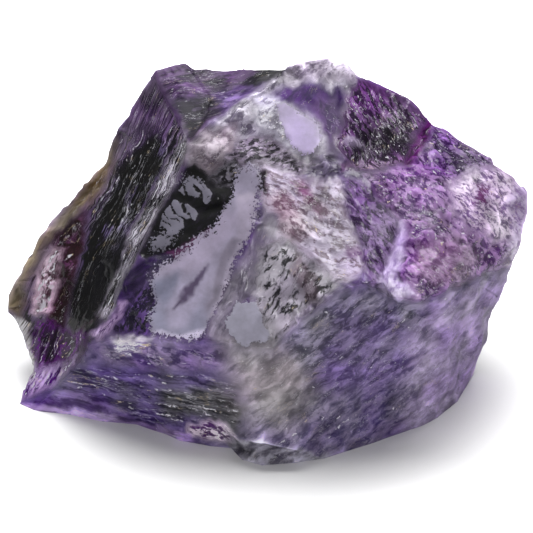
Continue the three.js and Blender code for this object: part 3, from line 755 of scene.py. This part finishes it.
paint(FOOT_BAND, 0.35, (0.26, 0.18, 0.39), (0.74, 0.56, 0.97), 0.5)

# %% [markdown]
# ### The pool and its shore
#
# Beside the spine the stone is so deep and clear that it looks black, like water in a pool. Its
# shore runs through purple and dark red to the specks below. The pool has almost no grain, which
# makes it look wet and lets the plates on it stand out.

# %% The pool and its shore
BLACK_POOL = [
    (-8.6, 12.4), (-6.4, 10.6), (-2.8, 10.6), (-2.0, 8.4), (-2.8, 6.6), (-6.4, 3.8), (-9.0, 2.4),
    (-11.8, 1.5), (-14.4, 0.9), (-15.4, 1.4), (-14.0, 4.4), (-11.4, 9.0), (-9.6, 12.0),
]
paint(
    BLACK_POOL, (0.25, 0.2, 0.1), (0.001, 0.001, 0.0015), (0.011, 0.008, 0.015), 0.3,
    grain=(62, 1.5, 0.8, 0.4), blur=0.2, lines=0.0, rough=0.16, chip=0.03, rib=0.0, grit=0.0,
    glint=0.0,
)
KNOB_SHADOW = [(-7.0, 10.9), (-3.9, 13.4), (-2.6, 12.2), (-3.0, 9.6), (-5.4, 9.4)]
paint(
    KNOB_SHADOW, (0.4, 0.5), (0.006, 0.004, 0.008), (0.24, 0.22, 0.27), 0.36,
    grain=(20, 1.4, 0.6, 0.4), blur=0.08, lines=0.1, grit=0.4,
)
PURPLE_WEDGE = [
    (-16.6, -0.4), (-14.4, 1.0), (-11.8, 1.8), (-9.0, 2.7), (-10.9, 1.1), (-12.8, -0.3),
    (-14.5, -1.9), (-17.2, -4.0), (-18.3, -4.3), (-17.3, -2.0),
]
paint(
    PURPLE_WEDGE, (0.35, 0.2), (0.0065, 0.0018, 0.021), (0.03, 0.012, 0.068), 0.45,
    grain=(28, 3.0, 0.8, 0.4), blur=0.3, lines=0.1, grit=0.1, glint=0.0, rib=0.0,
)
RED_SHORE = [
    (-12.1, 1.7), (-10.1, 2.7), (-8.2, 3.6), (-6.5, 4.8), (-6.9, 3.7), (-9.2, 2.3), (-10.9, 1.4),
]
paint(RED_SHORE, 0.3, (0.05, 0.012, 0.05), (0.16, 0.06, 0.14), 0.5)
SPECKLED = [
    (-12.6, 0.0), (-12.4, -3.0), (-13.0, -8.4), (-15.8, -8.5), (-17.9, -7.8), (-18.6, -6.2),
    (-17.8, -4.0), (-16.6, -3.6), (-14.5, -1.7),
]
paint(
    SPECKLED, 0.4, (0.0065, 0.0018, 0.019), (0.11, 0.065, 0.20), 0.36, grain=(60, 1.2, 0.6, 0.6),
    blur=0.1, lines=0.1, chip=0.1, rib=0.0, grit=0.4, glint=0.05,
)
NOSE_EDGE = [
    (-17.8, -4.2), (-18.5, -5.9), (-20.2, -7.2), (-21.9, -8.2), (-20.4, -9.0), (-18.6, -7.9),
    (-17.4, -6.0), (-16.8, -4.2),
]
paint(
    NOSE_EDGE, 0.3, (0.05, 0.014, 0.10), (0.55, 0.42, 0.64), 0.48, grain=(48, 3.0, 0.5, 0.3),
    blur=0.15, lines=0.7, grit=0.2,
)

# %% [markdown]
# ### Plates like glass
#
# A few places broke clean and flat: the long blade, three small plates on the pool, one below and
# a lavender one near the top. Their grey and lavender tones are painted reflection, the sheen that
# a broad soft lamp leaves on flat glass. Their edges are eaten away in specks where the dark stone
# shows. The edges must be sharper than the points are apart, so the surface stores the distance to
# them, and the material finds the edge itself. Tints make the painted sheen lighter or darker in
# places.

# %% Plates
# Painted sheen: the grey that a soft lamp leaves on flat glass.
PAINTED_SHEEN_GREY = (0.20, 0.19, 0.245)
BLADE = [
    (-3.1, 12.2), (-2.0, 12.5), (-0.8, 12.1), (-0.7, 9.4), (-0.8, 8.0), (-1.7, 4.9), (-2.5, 3.2),
    (-4.0, -0.4), (-5.7, -3.8), (-6.9, -7.1), (-7.5, -8.2), (-8.9, -8.8), (-10.6, -8.7),
    (-12.4, -8.2), (-13.8, -7.8), (-14.1, -6.2), (-13.1, -4.6), (-12.9, -3.5), (-13.6, -2.3),
    (-13.8, -1.1), (-12.8, 0.1), (-9.2, 2.7), (-6.3, 4.9), (-5.3, 6.4), (-4.4, 7.7), (-3.6, 8.7),
    (-3.8, 10.0),
]
FIRST_SMALL = [
    (-9.9, 10.9), (-8.3, 10.4), (-6.8, 9.2), (-6.4, 8.0), (-7.1, 7.3), (-8.3, 8.0), (-9.8, 8.5),
    (-10.7, 9.2),
]
SECOND_SMALL = [
    (-11.3, 8.0), (-9.5, 7.3), (-8.3, 6.1), (-8.6, 5.2), (-9.8, 5.5), (-10.3, 5.2), (-9.9, 4.6),
    (-11.0, 3.7), (-11.8, 3.7), (-12.9, 4.4), (-12.1, 6.7),
]
THIRD_SMALL = [
    (-13.1, 4.0), (-12.2, 3.9), (-11.2, 3.1), (-11.6, 2.5), (-12.8, 2.0), (-14.1, 1.9),
    (-13.7, 2.9),
]
LOWER_PLATE = [
    (-3.5, -4.0), (-2.6, -4.3), (-1.3, -4.0), (-0.9, -5.5), (-0.5, -7.1), (0.5, -8.1), (-0.1, -9.1),
    (-1.4, -9.2), (-2.3, -9.6), (-3.5, -9.4), (-4.3, -8.0), (-5.0, -7.1), (-4.9, -6.2),
    (-4.1, -5.1),
]
LAVENDER_PLATE = [
    (1.2, 19.6), (2.6, 19.5), (3.7, 18.5), (4.6, 18.1), (5.9, 17.6), (6.3, 16.4), (6.3, 14.9),
    (5.6, 13.7), (4.4, 13.6), (3.3, 14.3), (2.7, 15.6), (2.0, 16.8), (1.5, 18.0),
]
# The plates' tones are painted reflection, the sheen of a soft lamp on flat glass.
PLATES = {
    "blade": (BLADE, (0.33, 0.295, 0.405)),
    "first small plate": (FIRST_SMALL, PAINTED_SHEEN_GREY),
    "second small plate": (SECOND_SMALL, PAINTED_SHEEN_GREY),
    "third small plate": (THIRD_SMALL, PAINTED_SHEEN_GREY),
    "lower plate": (LOWER_PLATE, (0.42, 0.40, 0.51)),
    "lavender plate": (LAVENDER_PLATE, (0.48, 0.40, 0.61)),
}
plate_depth = np.full(len(points), -np.inf)
plate_sheen = np.zeros((len(points), 3))
for name, (outline, tone) in PLATES.items():
    depth = signed_distance(place[:, :2], outline)
    plate_sheen = np.where((depth > plate_depth)[:, None], tone, plate_sheen)
    plate_depth = np.maximum(plate_depth, depth)
    print(f"{name}: {int((depth > 0).sum())} points")
CUT_ANGLE = math.radians(-58)
CUT_PITCH = 0.95
steps = (place[:, 0] * math.sin(CUT_ANGLE) - place[:, 1] * math.cos(CUT_ANGLE)) / CUT_PITCH
cut = np.abs((steps + 0.7 * waved[:, 0] + 0.5) % 1 - 0.5) - 0.12
off_blade = signed_distance(place[:, :2], BLADE) < -0.4
small_plates = off_blade * smoothstep(0.5, 0.0, place[:, 0] + 6.2)
small_plates = small_plates * smoothstep(10.4, 9.4, place[:, 1]) * smoothstep(4.0, 4.4, place[:, 1])
plate_depth = np.where(small_plates > 0.5, np.minimum(plate_depth, cut), plate_depth)
FAR_OFF = 5
plate_depth = np.where(facing > 0.5, np.clip(plate_depth, -FAR_OFF, FAR_OFF), -FAR_OFF)
on_plate = smoothstep(-0.3, 0.3, plate_depth)


def tint(outline, soft, tone):
    """Blend a tone into the plates' painted sheen inside an outline."""
    mask = zone(outline, soft, 0.1, 0.1)[:, None]
    plate_sheen[:] = plate_sheen + (np.array(tone) - plate_sheen) * mask


tint(
    [
        (-13.9, -1.0), (-6.4, 4.9), (-4.4, 7.7), (-2.6, 6.4), (-6.4, 1.4), (-9.6, -1.0),
        (-12.6, -2.0),
    ],
    0.9, (0.37, 0.32, 0.44),
)
tint(
    [(-13.4, -1.6), (-10.2, -0.6), (-9.4, -3.0), (-11.6, -4.6), (-13.0, -3.6)], 0.8,
    (0.20, 0.20, 0.29),
)
tint([(-14.0, -5.0), (-8.2, -3.4), (-7.0, -8.2), (-13.0, -8.6)], 0.9, (0.30, 0.29, 0.41))
tint([(-3.0, 8.4), (-1.0, 9.0), (-1.0, 6.2), (-2.6, 5.6)], 0.5, (0.48, 0.42, 0.53))
tint(
    [
        (-13.9, -7.9), (-12.6, -7.6), (-10.4, -8.2), (-7.4, -7.6), (-7.3, -8.6), (-10.6, -9.0),
        (-13.6, -8.5),
    ],
    0.25, (0.70, 0.63, 0.84),
)
tint(
    [
        (-2.9, 8.0), (-1.0, 8.6), (-0.8, 6.0), (-2.0, 3.6), (-3.0, 1.6), (-4.6, -1.8), (-6.6, -6.6),
        (-7.2, -6.4), (-4.8, 0.6),
    ],
    0.35, (0.38, 0.33, 0.44),
)
tint(
    [(-9.6, -1.2), (-7.6, -1.0), (-8.0, -3.4), (-9.4, -7.2), (-11.6, -7.6), (-11.4, -4.6)], 0.6,
    (0.40, 0.36, 0.50),
)
tint(
    [(-4.6, 3.4), (-3.2, 3.0), (-5.6, -2.4), (-7.4, -5.6), (-7.6, -4.4), (-6.0, -0.6)], 0.3,
    (0.23, 0.20, 0.27),
)
tint([(2.6, 17.8), (5.4, 17.4), (6.0, 15.2), (4.6, 13.6), (2.8, 15.2)], 0.9, (0.52, 0.42, 0.70))
tint(
    [
        (-6.9, 0.7), (-7.6, -0.7), (-8.5, -2.5), (-9.4, -3.5), (-10.4, -4.6), (-9.5, -2.7),
        (-8.8, -1.4), (-7.9, -0.2),
    ],
    0.12, (0.10, 0.07, 0.14),
)
left_of_blade = smoothstep(0.6, -1.8, place[:, 0] + 3.4 - 0.5 * place[:, 1])
bite = np.clip(0.25 + 1.1 * left_of_blade, 0, 1)
bite = np.where(place[:, 0] + place[:, 1] > 11, 0.5, bite)
bite = np.where(small_plates > 0.5, 0.1, bite)

# %% [markdown]
# ### Flat plates and quiet seams
#
# A plate is flat, so its points move to the mean of their neighbours many times over, which irons
# out the facets under it. The black band is calmed a little in the same way. Where two grains
# meet, the marks would be cut in half, so fine marks fade out along such a seam.

# %% Flatten the plates
sides = np.concatenate([triangles[:, [0, 1]], triangles[:, [1, 2]], triangles[:, [2, 0]]])
neighbours = np.bincount(sides[:, 0], minlength=len(points))


def neighbour_mean(values):
    """The mean of a value over the points that share a triangle side with each point."""
    if values.ndim == 2:
        return np.stack([neighbour_mean(column) for column in values.T], axis=1)
    return np.bincount(sides[:, 0], values[sides[:, 1]], len(points)) / neighbours


CAP_RIDGE = [
    (6.0, 22.4), (9.0, 22.6), (11.8, 20.2), (11.0, 16.0), (10.4, 13.8), (8.2, 13.8), (6.4, 17.6),
]
calm = np.maximum(0.5 * zone(BLACK_BAND, 2.5), 0.3 * zone(CAP_RIDGE, 1.2))
within = np.maximum(smoothstep(-0.5, 0.1, plate_depth), calm)[:, None]
IRONING_ROUNDS = 250
for _ in range(IRONING_ROUNDS):
    points = points + within * 0.9 * (neighbour_mean(points) - points)
normals = surface_normals(points, triangles)
for name in ("chip", "rib", "grit"):
    look[name] *= 1 - on_plate
seam = neighbour_mean((neighbour_mean(grain_of) != grain_of).astype(float))
seam = smoothstep(0.0, 0.3, seam)
for name in ("grit", "glint"):
    look[name] *= 1 - seam
look["blur"] += 0.35 * seam
print("points where two grains meet:", int((seam > 0.5).sum()))

# %% [markdown]
# ## Relief
#
# The break itself is real shape, not only shading: ribs where the stone split along its grain, and
# small tilted chips where it crumbled. Each point moves along its own normal, by less than the
# thickness of a fingernail.

# %% Relief
flow = look["flow"]
chipped = chips(points, 2.6, 31) + 0.45 * chips(points, 1.4, 32)
ribbed = crests(flow * np.array([0.35, 0.4, 0.35]), 1.0, 34)
ribbed += 0.5 * crests(flow * np.array([0.5, 0.8, 0.5]), 1.0, 35)
height = look["chip"] * chipped + look["rib"] * (ribbed - 0.9)
height += 0.10 * smoothstep(-0.25, 0.15, plate_depth) + 0.03 * lumps(points, 2.5, 36)
height *= smoothstep(0.0, 1.2, points[:, 2])
height[ground_points] = 0
low, high = np.array(cad_box) / MM
surface = np.clip(points + height[:, None] * normals, low, high)
surface[ground_points] = points[ground_points]
print("relief from", round(height.min(), 2), "to", round(height.max(), 2), "mm")

# %% [markdown]
# ### Worn edges with painted light, and creases with painted shade
#
# Sharp edges of quartz are bruised pale, and painted light, as if shining through them, makes them
# paler still, while creases are darkened with painted shade. How far each point stands out from its
# neighbours tells which is which.

# %% Edges and creases
def standing_out(shape, rounds):
    """How far in mm each point stands out along its normal from its surroundings, averaged over
    its neighbours again and again."""
    calm = shape
    for _ in range(rounds):
        calm = 0.5 * calm + 0.5 * neighbour_mean(calm)
    return ((shape - calm) * surface_normals(shape, triangles)).sum(axis=1)


fine_edge = standing_out(surface, 3)
broad_edge = standing_out(neighbour_mean(surface), 40)
# Points that stand out are worn edges that also get painted light; sunken ones get painted shade.
worn_and_lit = smoothstep(0.015, 0.12, fine_edge) + smoothstep(0.06, 0.5, broad_edge)
crease_shade = smoothstep(0.015, 0.12, -fine_edge) + smoothstep(0.06, 0.5, -broad_edge)
print("worn points:", int((worn_and_lit > 0.5).sum()), "creased points:", int((crease_shade > 0.5).sum()))
cloud = 0.55 * lumps(points, 3.6, 41) + 0.42 * lumps(points, 1.5, 42)
# Random clouds, painted light on edges and painted shade in creases scale both tones.
cloud_wear_and_shade_gain = np.exp(cloud + look["wear"] * (0.4 * worn_and_lit - 0.5 * crease_shade))
look["share"] += (0.12 + 0.2 * look["lines"]) * lumps(points, 2.6, 44) * (1 - on_plate)
vivid = smoothstep(-0.5, 0.6, lumps(points, 4.5, 43))[:, None]
for name in ("dark", "pale"):
    grey = look[name].mean(axis=1, keepdims=True)
    tinted = grey + (look[name] - grey) * (0.88 + 0.62 * vivid)
    varied = np.maximum(tinted, 0.001) * cloud_wear_and_shade_gain[:, None]
    look[name] += (varied - look[name]) * (1 - on_plate[:, None])
# Painted edge light and crease shade also shift the share of pale marks.
look["share"] += look["wear"] * (0.22 * worn_and_lit - 0.2 * crease_shade) * (1 - on_plate)

# %% [markdown]
# ## The mesh
#
# The looks travel with the surface as named attributes, which the material reads back.

# %% Mesh and attributes
mesh = bpy.data.meshes.new("amethyst_stone")
mesh.from_pydata(surface * MM, [], triangles)
mesh.shade_smooth()


def store(name, kind, values):
    """Write one value, or one row of values, per point under a name."""
    attribute = mesh.attributes.new(name, kind, "POINT")
    key = {"FLOAT": "value", "FLOAT_COLOR": "color", "FLOAT_VECTOR": "vector"}[kind]
    if kind == "FLOAT_COLOR":
        values = np.concatenate([values, np.ones((len(values), 1))], axis=1)
    attribute.data.foreach_set(key, np.ascontiguousarray(values, dtype=np.float32).ravel())


for name in ("dark", "pale"):
    store(name, "FLOAT_COLOR", look[name])
store("plate", "FLOAT_COLOR", plate_sheen)
store("flow", "FLOAT_VECTOR", look["flow"])
for name in ("share", "blur", "lines", "rough", "glint", "grit"):
    store(name, "FLOAT", look[name])
store("bite", "FLOAT", bite)
store("plate_depth", "FLOAT", plate_depth)

stone = bpy.data.objects.new("rough_amethyst", mesh)
bpy.context.scene.collection.objects.link(stone)
print("triangles in the stone:", len(mesh.polygons))

# %% [markdown]
# ## The material
#
# One material serves the whole stone, because it is one stone, and the looks stored on the points
# tell it apart. Wiring nodes by hand takes many clicks, so a few short helpers do it here.

# %% Helpers for shader nodes
COLUMN_WIDTH, ROW_HEIGHT = 200, 220


def add(tree, kind, inputs=None, **settings):
    """A node with its settings, and with each named input either linked to another node's output or
    set to a value. It stands one column to the right of the nodes that feed it."""
    node = tree.nodes.new("ShaderNode" + kind)
    for name, value in settings.items():
        setattr(node, name, value)
    column = 0
    for name, value in (inputs or {}).items():
        if isinstance(value, bpy.types.NodeSocket):
            tree.links.new(value, node.inputs[name])
            column = max(column, value.node.location.x + COLUMN_WIDTH)
        else:
            node.inputs[name].default_value = value
    above = sum(other.location.x == column for other in tree.nodes if other != node)
    node.location = (column, -ROW_HEIGHT * above)
    return node


def calculate(tree, operation, *values):
    """The output of a math node."""
    return add(tree, "Math", dict(enumerate(values)), operation=operation).outputs[0]


def vectors(tree, operation, *values):
    """The outputs of a vector math node."""
    inputs = dict(enumerate(values))
    return add(tree, "VectorMath", inputs, operation=operation).outputs


def stored(tree, name, output="Fac"):
    """An output of the node that reads a stored attribute."""
    return add(tree, "Attribute", attribute_name=name).outputs[output]


def spread(tree, value, low, high, first, last, kind="LINEAR"):
    """A value's way from low to high, made into the way from first to last."""
    inputs = {"Value": value, "From Min": low, "From Max": high, "To Min": first, "To Max": last}
    return add(tree, "MapRange", inputs, interpolation_type=kind).outputs["Result"]


def soft_step(tree, value, low, high):
    """0 below low and 1 above high, with a smooth passage."""
    return spread(tree, value, low, high, 0.0, 1.0, "SMOOTHSTEP")


def noise(tree, vector, scale, detail, roughness=0.5, distortion=0.0):
    """The height, from 0 to 1, of a fractal noise: octaves of doubled fineness are added up, each
    one roughness times as strong as the last."""
    inputs = {"Vector": vector, "Scale": scale, "Detail": detail}
    inputs |= {"Roughness": roughness, "Distortion": distortion}
    return add(tree, "TexNoise", inputs).outputs["Fac"]


def blend(tree, share, first, second):
    """A number that goes from the first to the second: first times (1 - share) plus second times
    share."""
    inputs = {"Factor": share, "A": first, "B": second}
    return add(tree, "Mix", inputs, data_type="FLOAT").outputs["Result"]


def blend_colours(tree, share, first, second):
    """The same for two colours."""
    inputs = {"Factor": share, 6: first, 7: second}
    return add(tree, "Mix", inputs, data_type="RGBA").outputs[2]


# %% [markdown]
# ### Marks of broken quartz
#
# Up close a fracture is a field of small cups, each leaning its own way, with cloudy tones between
# them, fine bright hairs along the grain and a few glints. The group draws all of them in the
# stored flow, which stretches them along the grain, and gives out only values: how pale the place
# is, how much it glints, and the height of its cups for the bump. How pale a place is holds painted
# shade too: a cup that leans towards a light up and to the left is paler. The glints and the bright
# hairs are painted highlights.

# %% The pattern group
def new_group(name, inputs, outputs):
    """An empty node group with named sockets."""
    group = bpy.data.node_groups.new(name, "ShaderNodeTree")
    for socket, kind in inputs.items():
        group.interface.new_socket(socket, in_out="INPUT", socket_type="NodeSocket" + kind)
    for socket, kind in outputs.items():
        group.interface.new_socket(socket, in_out="OUTPUT", socket_type="NodeSocket" + kind)
    group_in = group.nodes.new("NodeGroupInput")
    group_in.location.x = -COLUMN_WIDTH
    group_out = group.nodes.new("NodeGroupOutput")
    group_out.location.x = 12 * COLUMN_WIDTH
    return group, group_in.outputs, group_out.inputs


KNOBS = ("Share", "Blur", "Lines", "Glint", "Grit")
pattern, given, result = new_group(
    "broken_pattern",
    {"Flow": "Vector", "Place": "Vector"} | dict.fromkeys(KNOBS, "Float"),
    dict.fromkeys(("Pale", "Glint", "Height"), "Float"),
)
MIDDLE = (0.5, 0.5, 0.5)
SWAY = (0.8, 0.8, 0.8)
# Where the light comes from for the chips' painted shade.
TOWARDS_PAINTED_LIGHT = (-0.5, 0.4, 0.75)
LARGE_CHIPS, SMALL_CHIPS = 1.3, 2.9
sway = add(pattern, "TexNoise", {"Vector": given["Place"], "Scale": 0.9, "Detail": 3.0})
centred = vectors(pattern, "SUBTRACT", sway.outputs["Color"], MIDDLE)[0]
bent = vectors(pattern, "MULTIPLY_ADD", centred, SWAY, given["Flow"])[0]


def chip_layer(tree, vector, scale):
    """Chips of one size: each cell of a Voronoi pattern is a shallow cup that leans by its own
    random slope. Its height is the squared distance from the cell's middle plus the slope times
    the way from there, and its tone is painted shade: it is paler the more the slope turns towards
    a light up and to the left."""
    cells = add(tree, "TexVoronoi", {"Vector": vector, "Scale": scale}, feature="F1")
    slope = vectors(tree, "SUBTRACT", cells.outputs["Color"], MIDDLE)[0]
    way = vectors(tree, "SUBTRACT", vector, cells.outputs["Position"])[0]
    lean = vectors(tree, "DOT_PRODUCT", way, slope)["Value"]
    cup = calculate(tree, "POWER", cells.outputs["Distance"], 2.0)
    tone = vectors(tree, "DOT_PRODUCT", slope, TOWARDS_PAINTED_LIGHT)["Value"]
    return calculate(tree, "MULTIPLY_ADD", cup, 0.5 / scale, lean), tone


# The second value of each chip layer is painted shade, paler where a chip leans towards the light.
height_one, painted_shade_one = chip_layer(pattern, bent, LARGE_CHIPS)
height_two, painted_shade_two = chip_layer(pattern, bent, SMALL_CHIPS)
blots = noise(pattern, bent, 1.0, 5.0, 0.62)
hairs = noise(pattern, given["Flow"], 1.7, 4.0, 0.6, 0.5)
off_middle = calculate(pattern, "ABSOLUTE", calculate(pattern, "SUBTRACT", hairs, 0.5))
fall = calculate(pattern, "MULTIPLY", off_middle, 3.2)
ridge = calculate(pattern, "SUBTRACT", 0.72, fall)
off_blots = calculate(pattern, "SUBTRACT", blots, 0.5)
wide_blots = calculate(pattern, "MULTIPLY_ADD", off_blots, 1.7, 0.5)
small_painted_shade = calculate(pattern, "MULTIPLY", painted_shade_two, 0.25)
both_painted_shades = calculate(pattern, "MULTIPLY_ADD", painted_shade_one, 0.4, small_painted_shade)
# Painted shade of the chips, added to how pale a place is.
painted_chip_shade = calculate(pattern, "MULTIPLY", given["Grit"], both_painted_shades)
mixed = blend(pattern, given["Lines"], wide_blots, ridge)
raw = calculate(pattern, "ADD", mixed, painted_chip_shade)
level = calculate(pattern, "MULTIPLY_ADD", given["Share"], -0.6, 0.8)
below = calculate(pattern, "SUBTRACT", level, given["Blur"])
above = calculate(pattern, "ADD", level, given["Blur"])
pale_share = soft_step(pattern, raw, below, above)
glint_level = calculate(pattern, "MULTIPLY_ADD", given["Glint"], -0.5, 0.74)
glint_noise = noise(pattern, bent, 2.6, 3.0, 0.6, 0.2)
fully_lit = calculate(pattern, "ADD", glint_level, 0.05)
lit_chip = soft_step(pattern, glint_noise, glint_level, fully_lit)
thin = calculate(pattern, "MULTIPLY", given["Glint"], 0.09)
hair_line = soft_step(pattern, off_middle, thin, 0.0)
bunches = noise(pattern, given["Flow"], 0.8, 2.0)
hair_share = soft_step(pattern, bunches, 0.48, 0.6)
faint = calculate(pattern, "MULTIPLY", hair_share, 0.6)
lit_hair = calculate(pattern, "MULTIPLY", hair_line, faint)
lit = calculate(pattern, "MAXIMUM", lit_chip, lit_hair)
large_chips = calculate(pattern, "MULTIPLY", height_one, 0.32)
chip_height = calculate(pattern, "MULTIPLY_ADD", height_two, 0.20, large_chips)
full_height = calculate(pattern, "MULTIPLY", given["Grit"], chip_height)
for value, name in ((pale_share, "Pale"), (lit, "Glint"), (full_height, "Height")):
    pattern.links.new(value, result[name])

# %% [markdown]
# ### The stone's surface
#
# The pale marks lie on the dark stone, glints over them, and the plates with their painted sheen
# over both, with edges eaten away by a still finer noise. Quartz is clear, so the shader lets a
# part
# of the light through: it bends by quartz's index of 1.54 and turns violet on its way. A glint is a
# painted highlight, painted pale because a real one is far smaller than a point of the surface.

# %% The stone's material
material = bpy.data.materials.new("amethyst_quartz")
material.use_nodes = True
tree = material.node_tree
tree.nodes.clear()

object_place = add(tree, "TexCoord").outputs["Object"]
in_mm = vectors(tree, "MULTIPLY", object_place, (1 / MM, 1 / MM, 1 / MM))[0]
marks = tree.nodes.new("ShaderNodeGroup")
marks.node_tree = pattern
marks.location.x = 2 * COLUMN_WIDTH
tree.links.new(stored(tree, "flow", "Vector"), marks.inputs["Flow"])
for knob in KNOBS:
    tree.links.new(stored(tree, knob.lower()), marks.inputs[knob])
tree.links.new(in_mm, marks.inputs["Place"])
dark_tone = stored(tree, "dark", "Color")
pale_tone = stored(tree, "pale", "Color")
broken_tone = blend_colours(tree, marks.outputs["Pale"], dark_tone, pale_tone)

specks = noise(tree, in_mm, 2.4, 3.0, 0.75)
off_specks = calculate(tree, "SUBTRACT", specks, 0.5)
reach = calculate(tree, "MULTIPLY", stored(tree, "bite"), 4.5)
bitten = calculate(tree, "MULTIPLY", off_specks, reach)
depth_here = stored(tree, "plate_depth")
eaten = calculate(tree, "ADD", bitten, depth_here)
on_glass = soft_step(tree, eaten, -0.03, 0.05)
clouds = noise(tree, in_mm, 0.35, 6.0, 0.62)
cloud_gain = spread(tree, clouds, 0.3, 0.7, 0.68, 1.3)
# The plates' colour is their painted sheen, varied by clouds.
plate_inputs = {0: stored(tree, "plate", "Color"), "Scale": cloud_gain}
plate_sheen_colour = add(tree, "VectorMath", plate_inputs, operation="SCALE").outputs[0]
WHITE_GLINT = (0.80, 0.78, 0.86, 1)
RUSTY_GLINT = (0.74, 0.60, 0.42, 1)
PLATE_ROUGHNESS = 0.34
PLATE_BUMP = 0.05
rust = soft_step(tree, noise(tree, in_mm, 0.5, 2.0), 0.56, 0.62)
glint_colour = blend_colours(tree, rust, WHITE_GLINT, RUSTY_GLINT)
glinting = blend_colours(tree, marks.outputs["Glint"], broken_tone, glint_colour)
tone = blend_colours(tree, on_glass, glinting, plate_sheen_colour)
rough = stored(tree, "rough")
roughness = blend(tree, on_glass, rough, PLATE_ROUGHNESS)

bump_height = blend(tree, on_glass, marks.outputs["Height"], PLATE_BUMP)
bump = add(tree, "Bump", {"Height": bump_height, "Strength": 1.0, "Distance": 0.001})

shader = add(
    tree, "BsdfPrincipled",
    {
        "Base Color": tone,
        "Roughness": roughness,
        "IOR": 1.54,
        "Transmission Weight": 0.3,
        "Normal": bump.outputs["Normal"],
    },
)
haze = add(tree, "VolumeAbsorption", {"Color": (0.42, 0.25, 0.72, 1), "Density": 60.0})
add(tree, "OutputMaterial", {"Surface": shader.outputs[0], "Volume": haze.outputs[0]})
mesh.materials.append(material)

# %% [markdown]
# ## Table and light
#
# The stone lies on white paper under a broad soft lamp, with a weaker one in front. Both are kept
# out of the reflections, where they would cover the dark stone with a grey film. A third, smaller
# lamp is seen only in reflections, and gives the chips their shine. The paper is darker in
# reflections, so that the undercut faces keep their deep tones. It turns fully white a little way
# off, but only for the camera, so the stone isn't lit by it.

# %% Table, world and lamps
floor_mesh = bpy.data.meshes.new("white_table")
HALF = 3.0
corners = [(-HALF, -HALF, 0), (HALF, -HALF, 0), (HALF, HALF, 0), (-HALF, HALF, 0)]
floor_mesh.from_pydata(corners, [], [(0, 1, 2, 3)])
floor = bpy.data.objects.new("table", floor_mesh)
bpy.context.scene.collection.objects.link(floor)
floor_material = bpy.data.materials.new("white_paper")
floor_material.use_nodes = True
table = floor_material.node_tree
paper = table.nodes["Principled BSDF"]
paper.inputs["Roughness"].default_value = 0.9
paper.inputs["Specular IOR Level"].default_value = 0.0
table_place = add(table, "TexCoord").outputs["Object"]
away = vectors(table, "LENGTH", table_place)["Value"]
rays = add(table, "LightPath").outputs
far_off = soft_step(table, away, 0.024, 0.05)
far_white = calculate(table, "MULTIPLY", far_off, rays["Is Camera Ray"])
table.links.new(far_white, paper.inputs["Emission Strength"])
PAPER = (0.9, 0.9, 0.9, 1)
PAPER_IN_REFLECTIONS = (0.25, 0.25, 0.25, 1)
whiteness = blend_colours(table, rays["Is Glossy Ray"], PAPER, PAPER_IN_REFLECTIONS)
table.links.new(whiteness, paper.inputs["Base Color"])
paper.inputs["Emission Color"].default_value = (1, 1, 1, 1)
floor_mesh.materials.append(floor_material)


def soft_box(name, centre, aim, size, power):
    """An oval area lamp at a place in mm, turned towards another place."""
    lamp = bpy.data.lights.new(name, "AREA")
    lamp.shape = "ELLIPSE"
    lamp.size, lamp.size_y = size[0] * MM, size[1] * MM
    lamp.energy = power
    box = bpy.data.objects.new(name, lamp)
    direction = np.array(aim, dtype=float) - np.array(centre)
    box.location = np.array(centre) * MM
    box.rotation_euler = mathutils.Vector(direction).to_track_quat("-Z", "Y").to_euler()
    bpy.context.scene.collection.objects.link(box)
    return box


MIDDLE_OF_STONE = (0, 0, 15)
overhead = soft_box("overhead", (0, 200, 410), MIDDLE_OF_STONE, (560, 420), 3.8)
overhead.visible_glossy = False
gleam = soft_box("gleam", (140, -40, 390), MIDDLE_OF_STONE, (240, 160), 0.65)
gleam.visible_diffuse = False
front = soft_box("front", (40, -480, 140), MIDDLE_OF_STONE, (420, 240), 0.8)
front.visible_glossy = False

world = bpy.data.worlds.new("white_room")
bpy.context.scene.world = world
world.use_nodes = True
sky = world.node_tree
sky.nodes.clear()
AT_HORIZON, AT_TOP = 0.08, 0.3
direction = add(sky, "TexCoord").outputs["Generated"]
up = add(sky, "SeparateXYZ", {"Vector": direction}).outputs["Z"]
brightness = spread(sky, up, 0.0, 1.0, AT_HORIZON, AT_TOP)
seen = add(sky, "LightPath").outputs["Is Camera Ray"]
strength = blend(sky, seen, brightness, 1.0)
background = add(sky, "Background", {"Color": (1, 1, 1, 1), "Strength": strength})
add(sky, "OutputWorld", {"Surface": background.outputs[0]})
bpy.context.scene.view_settings.view_transform = "Standard"

# %% [markdown]
# ## Into the frame

# %% Finish
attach(stone, "root")
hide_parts("amethyst")
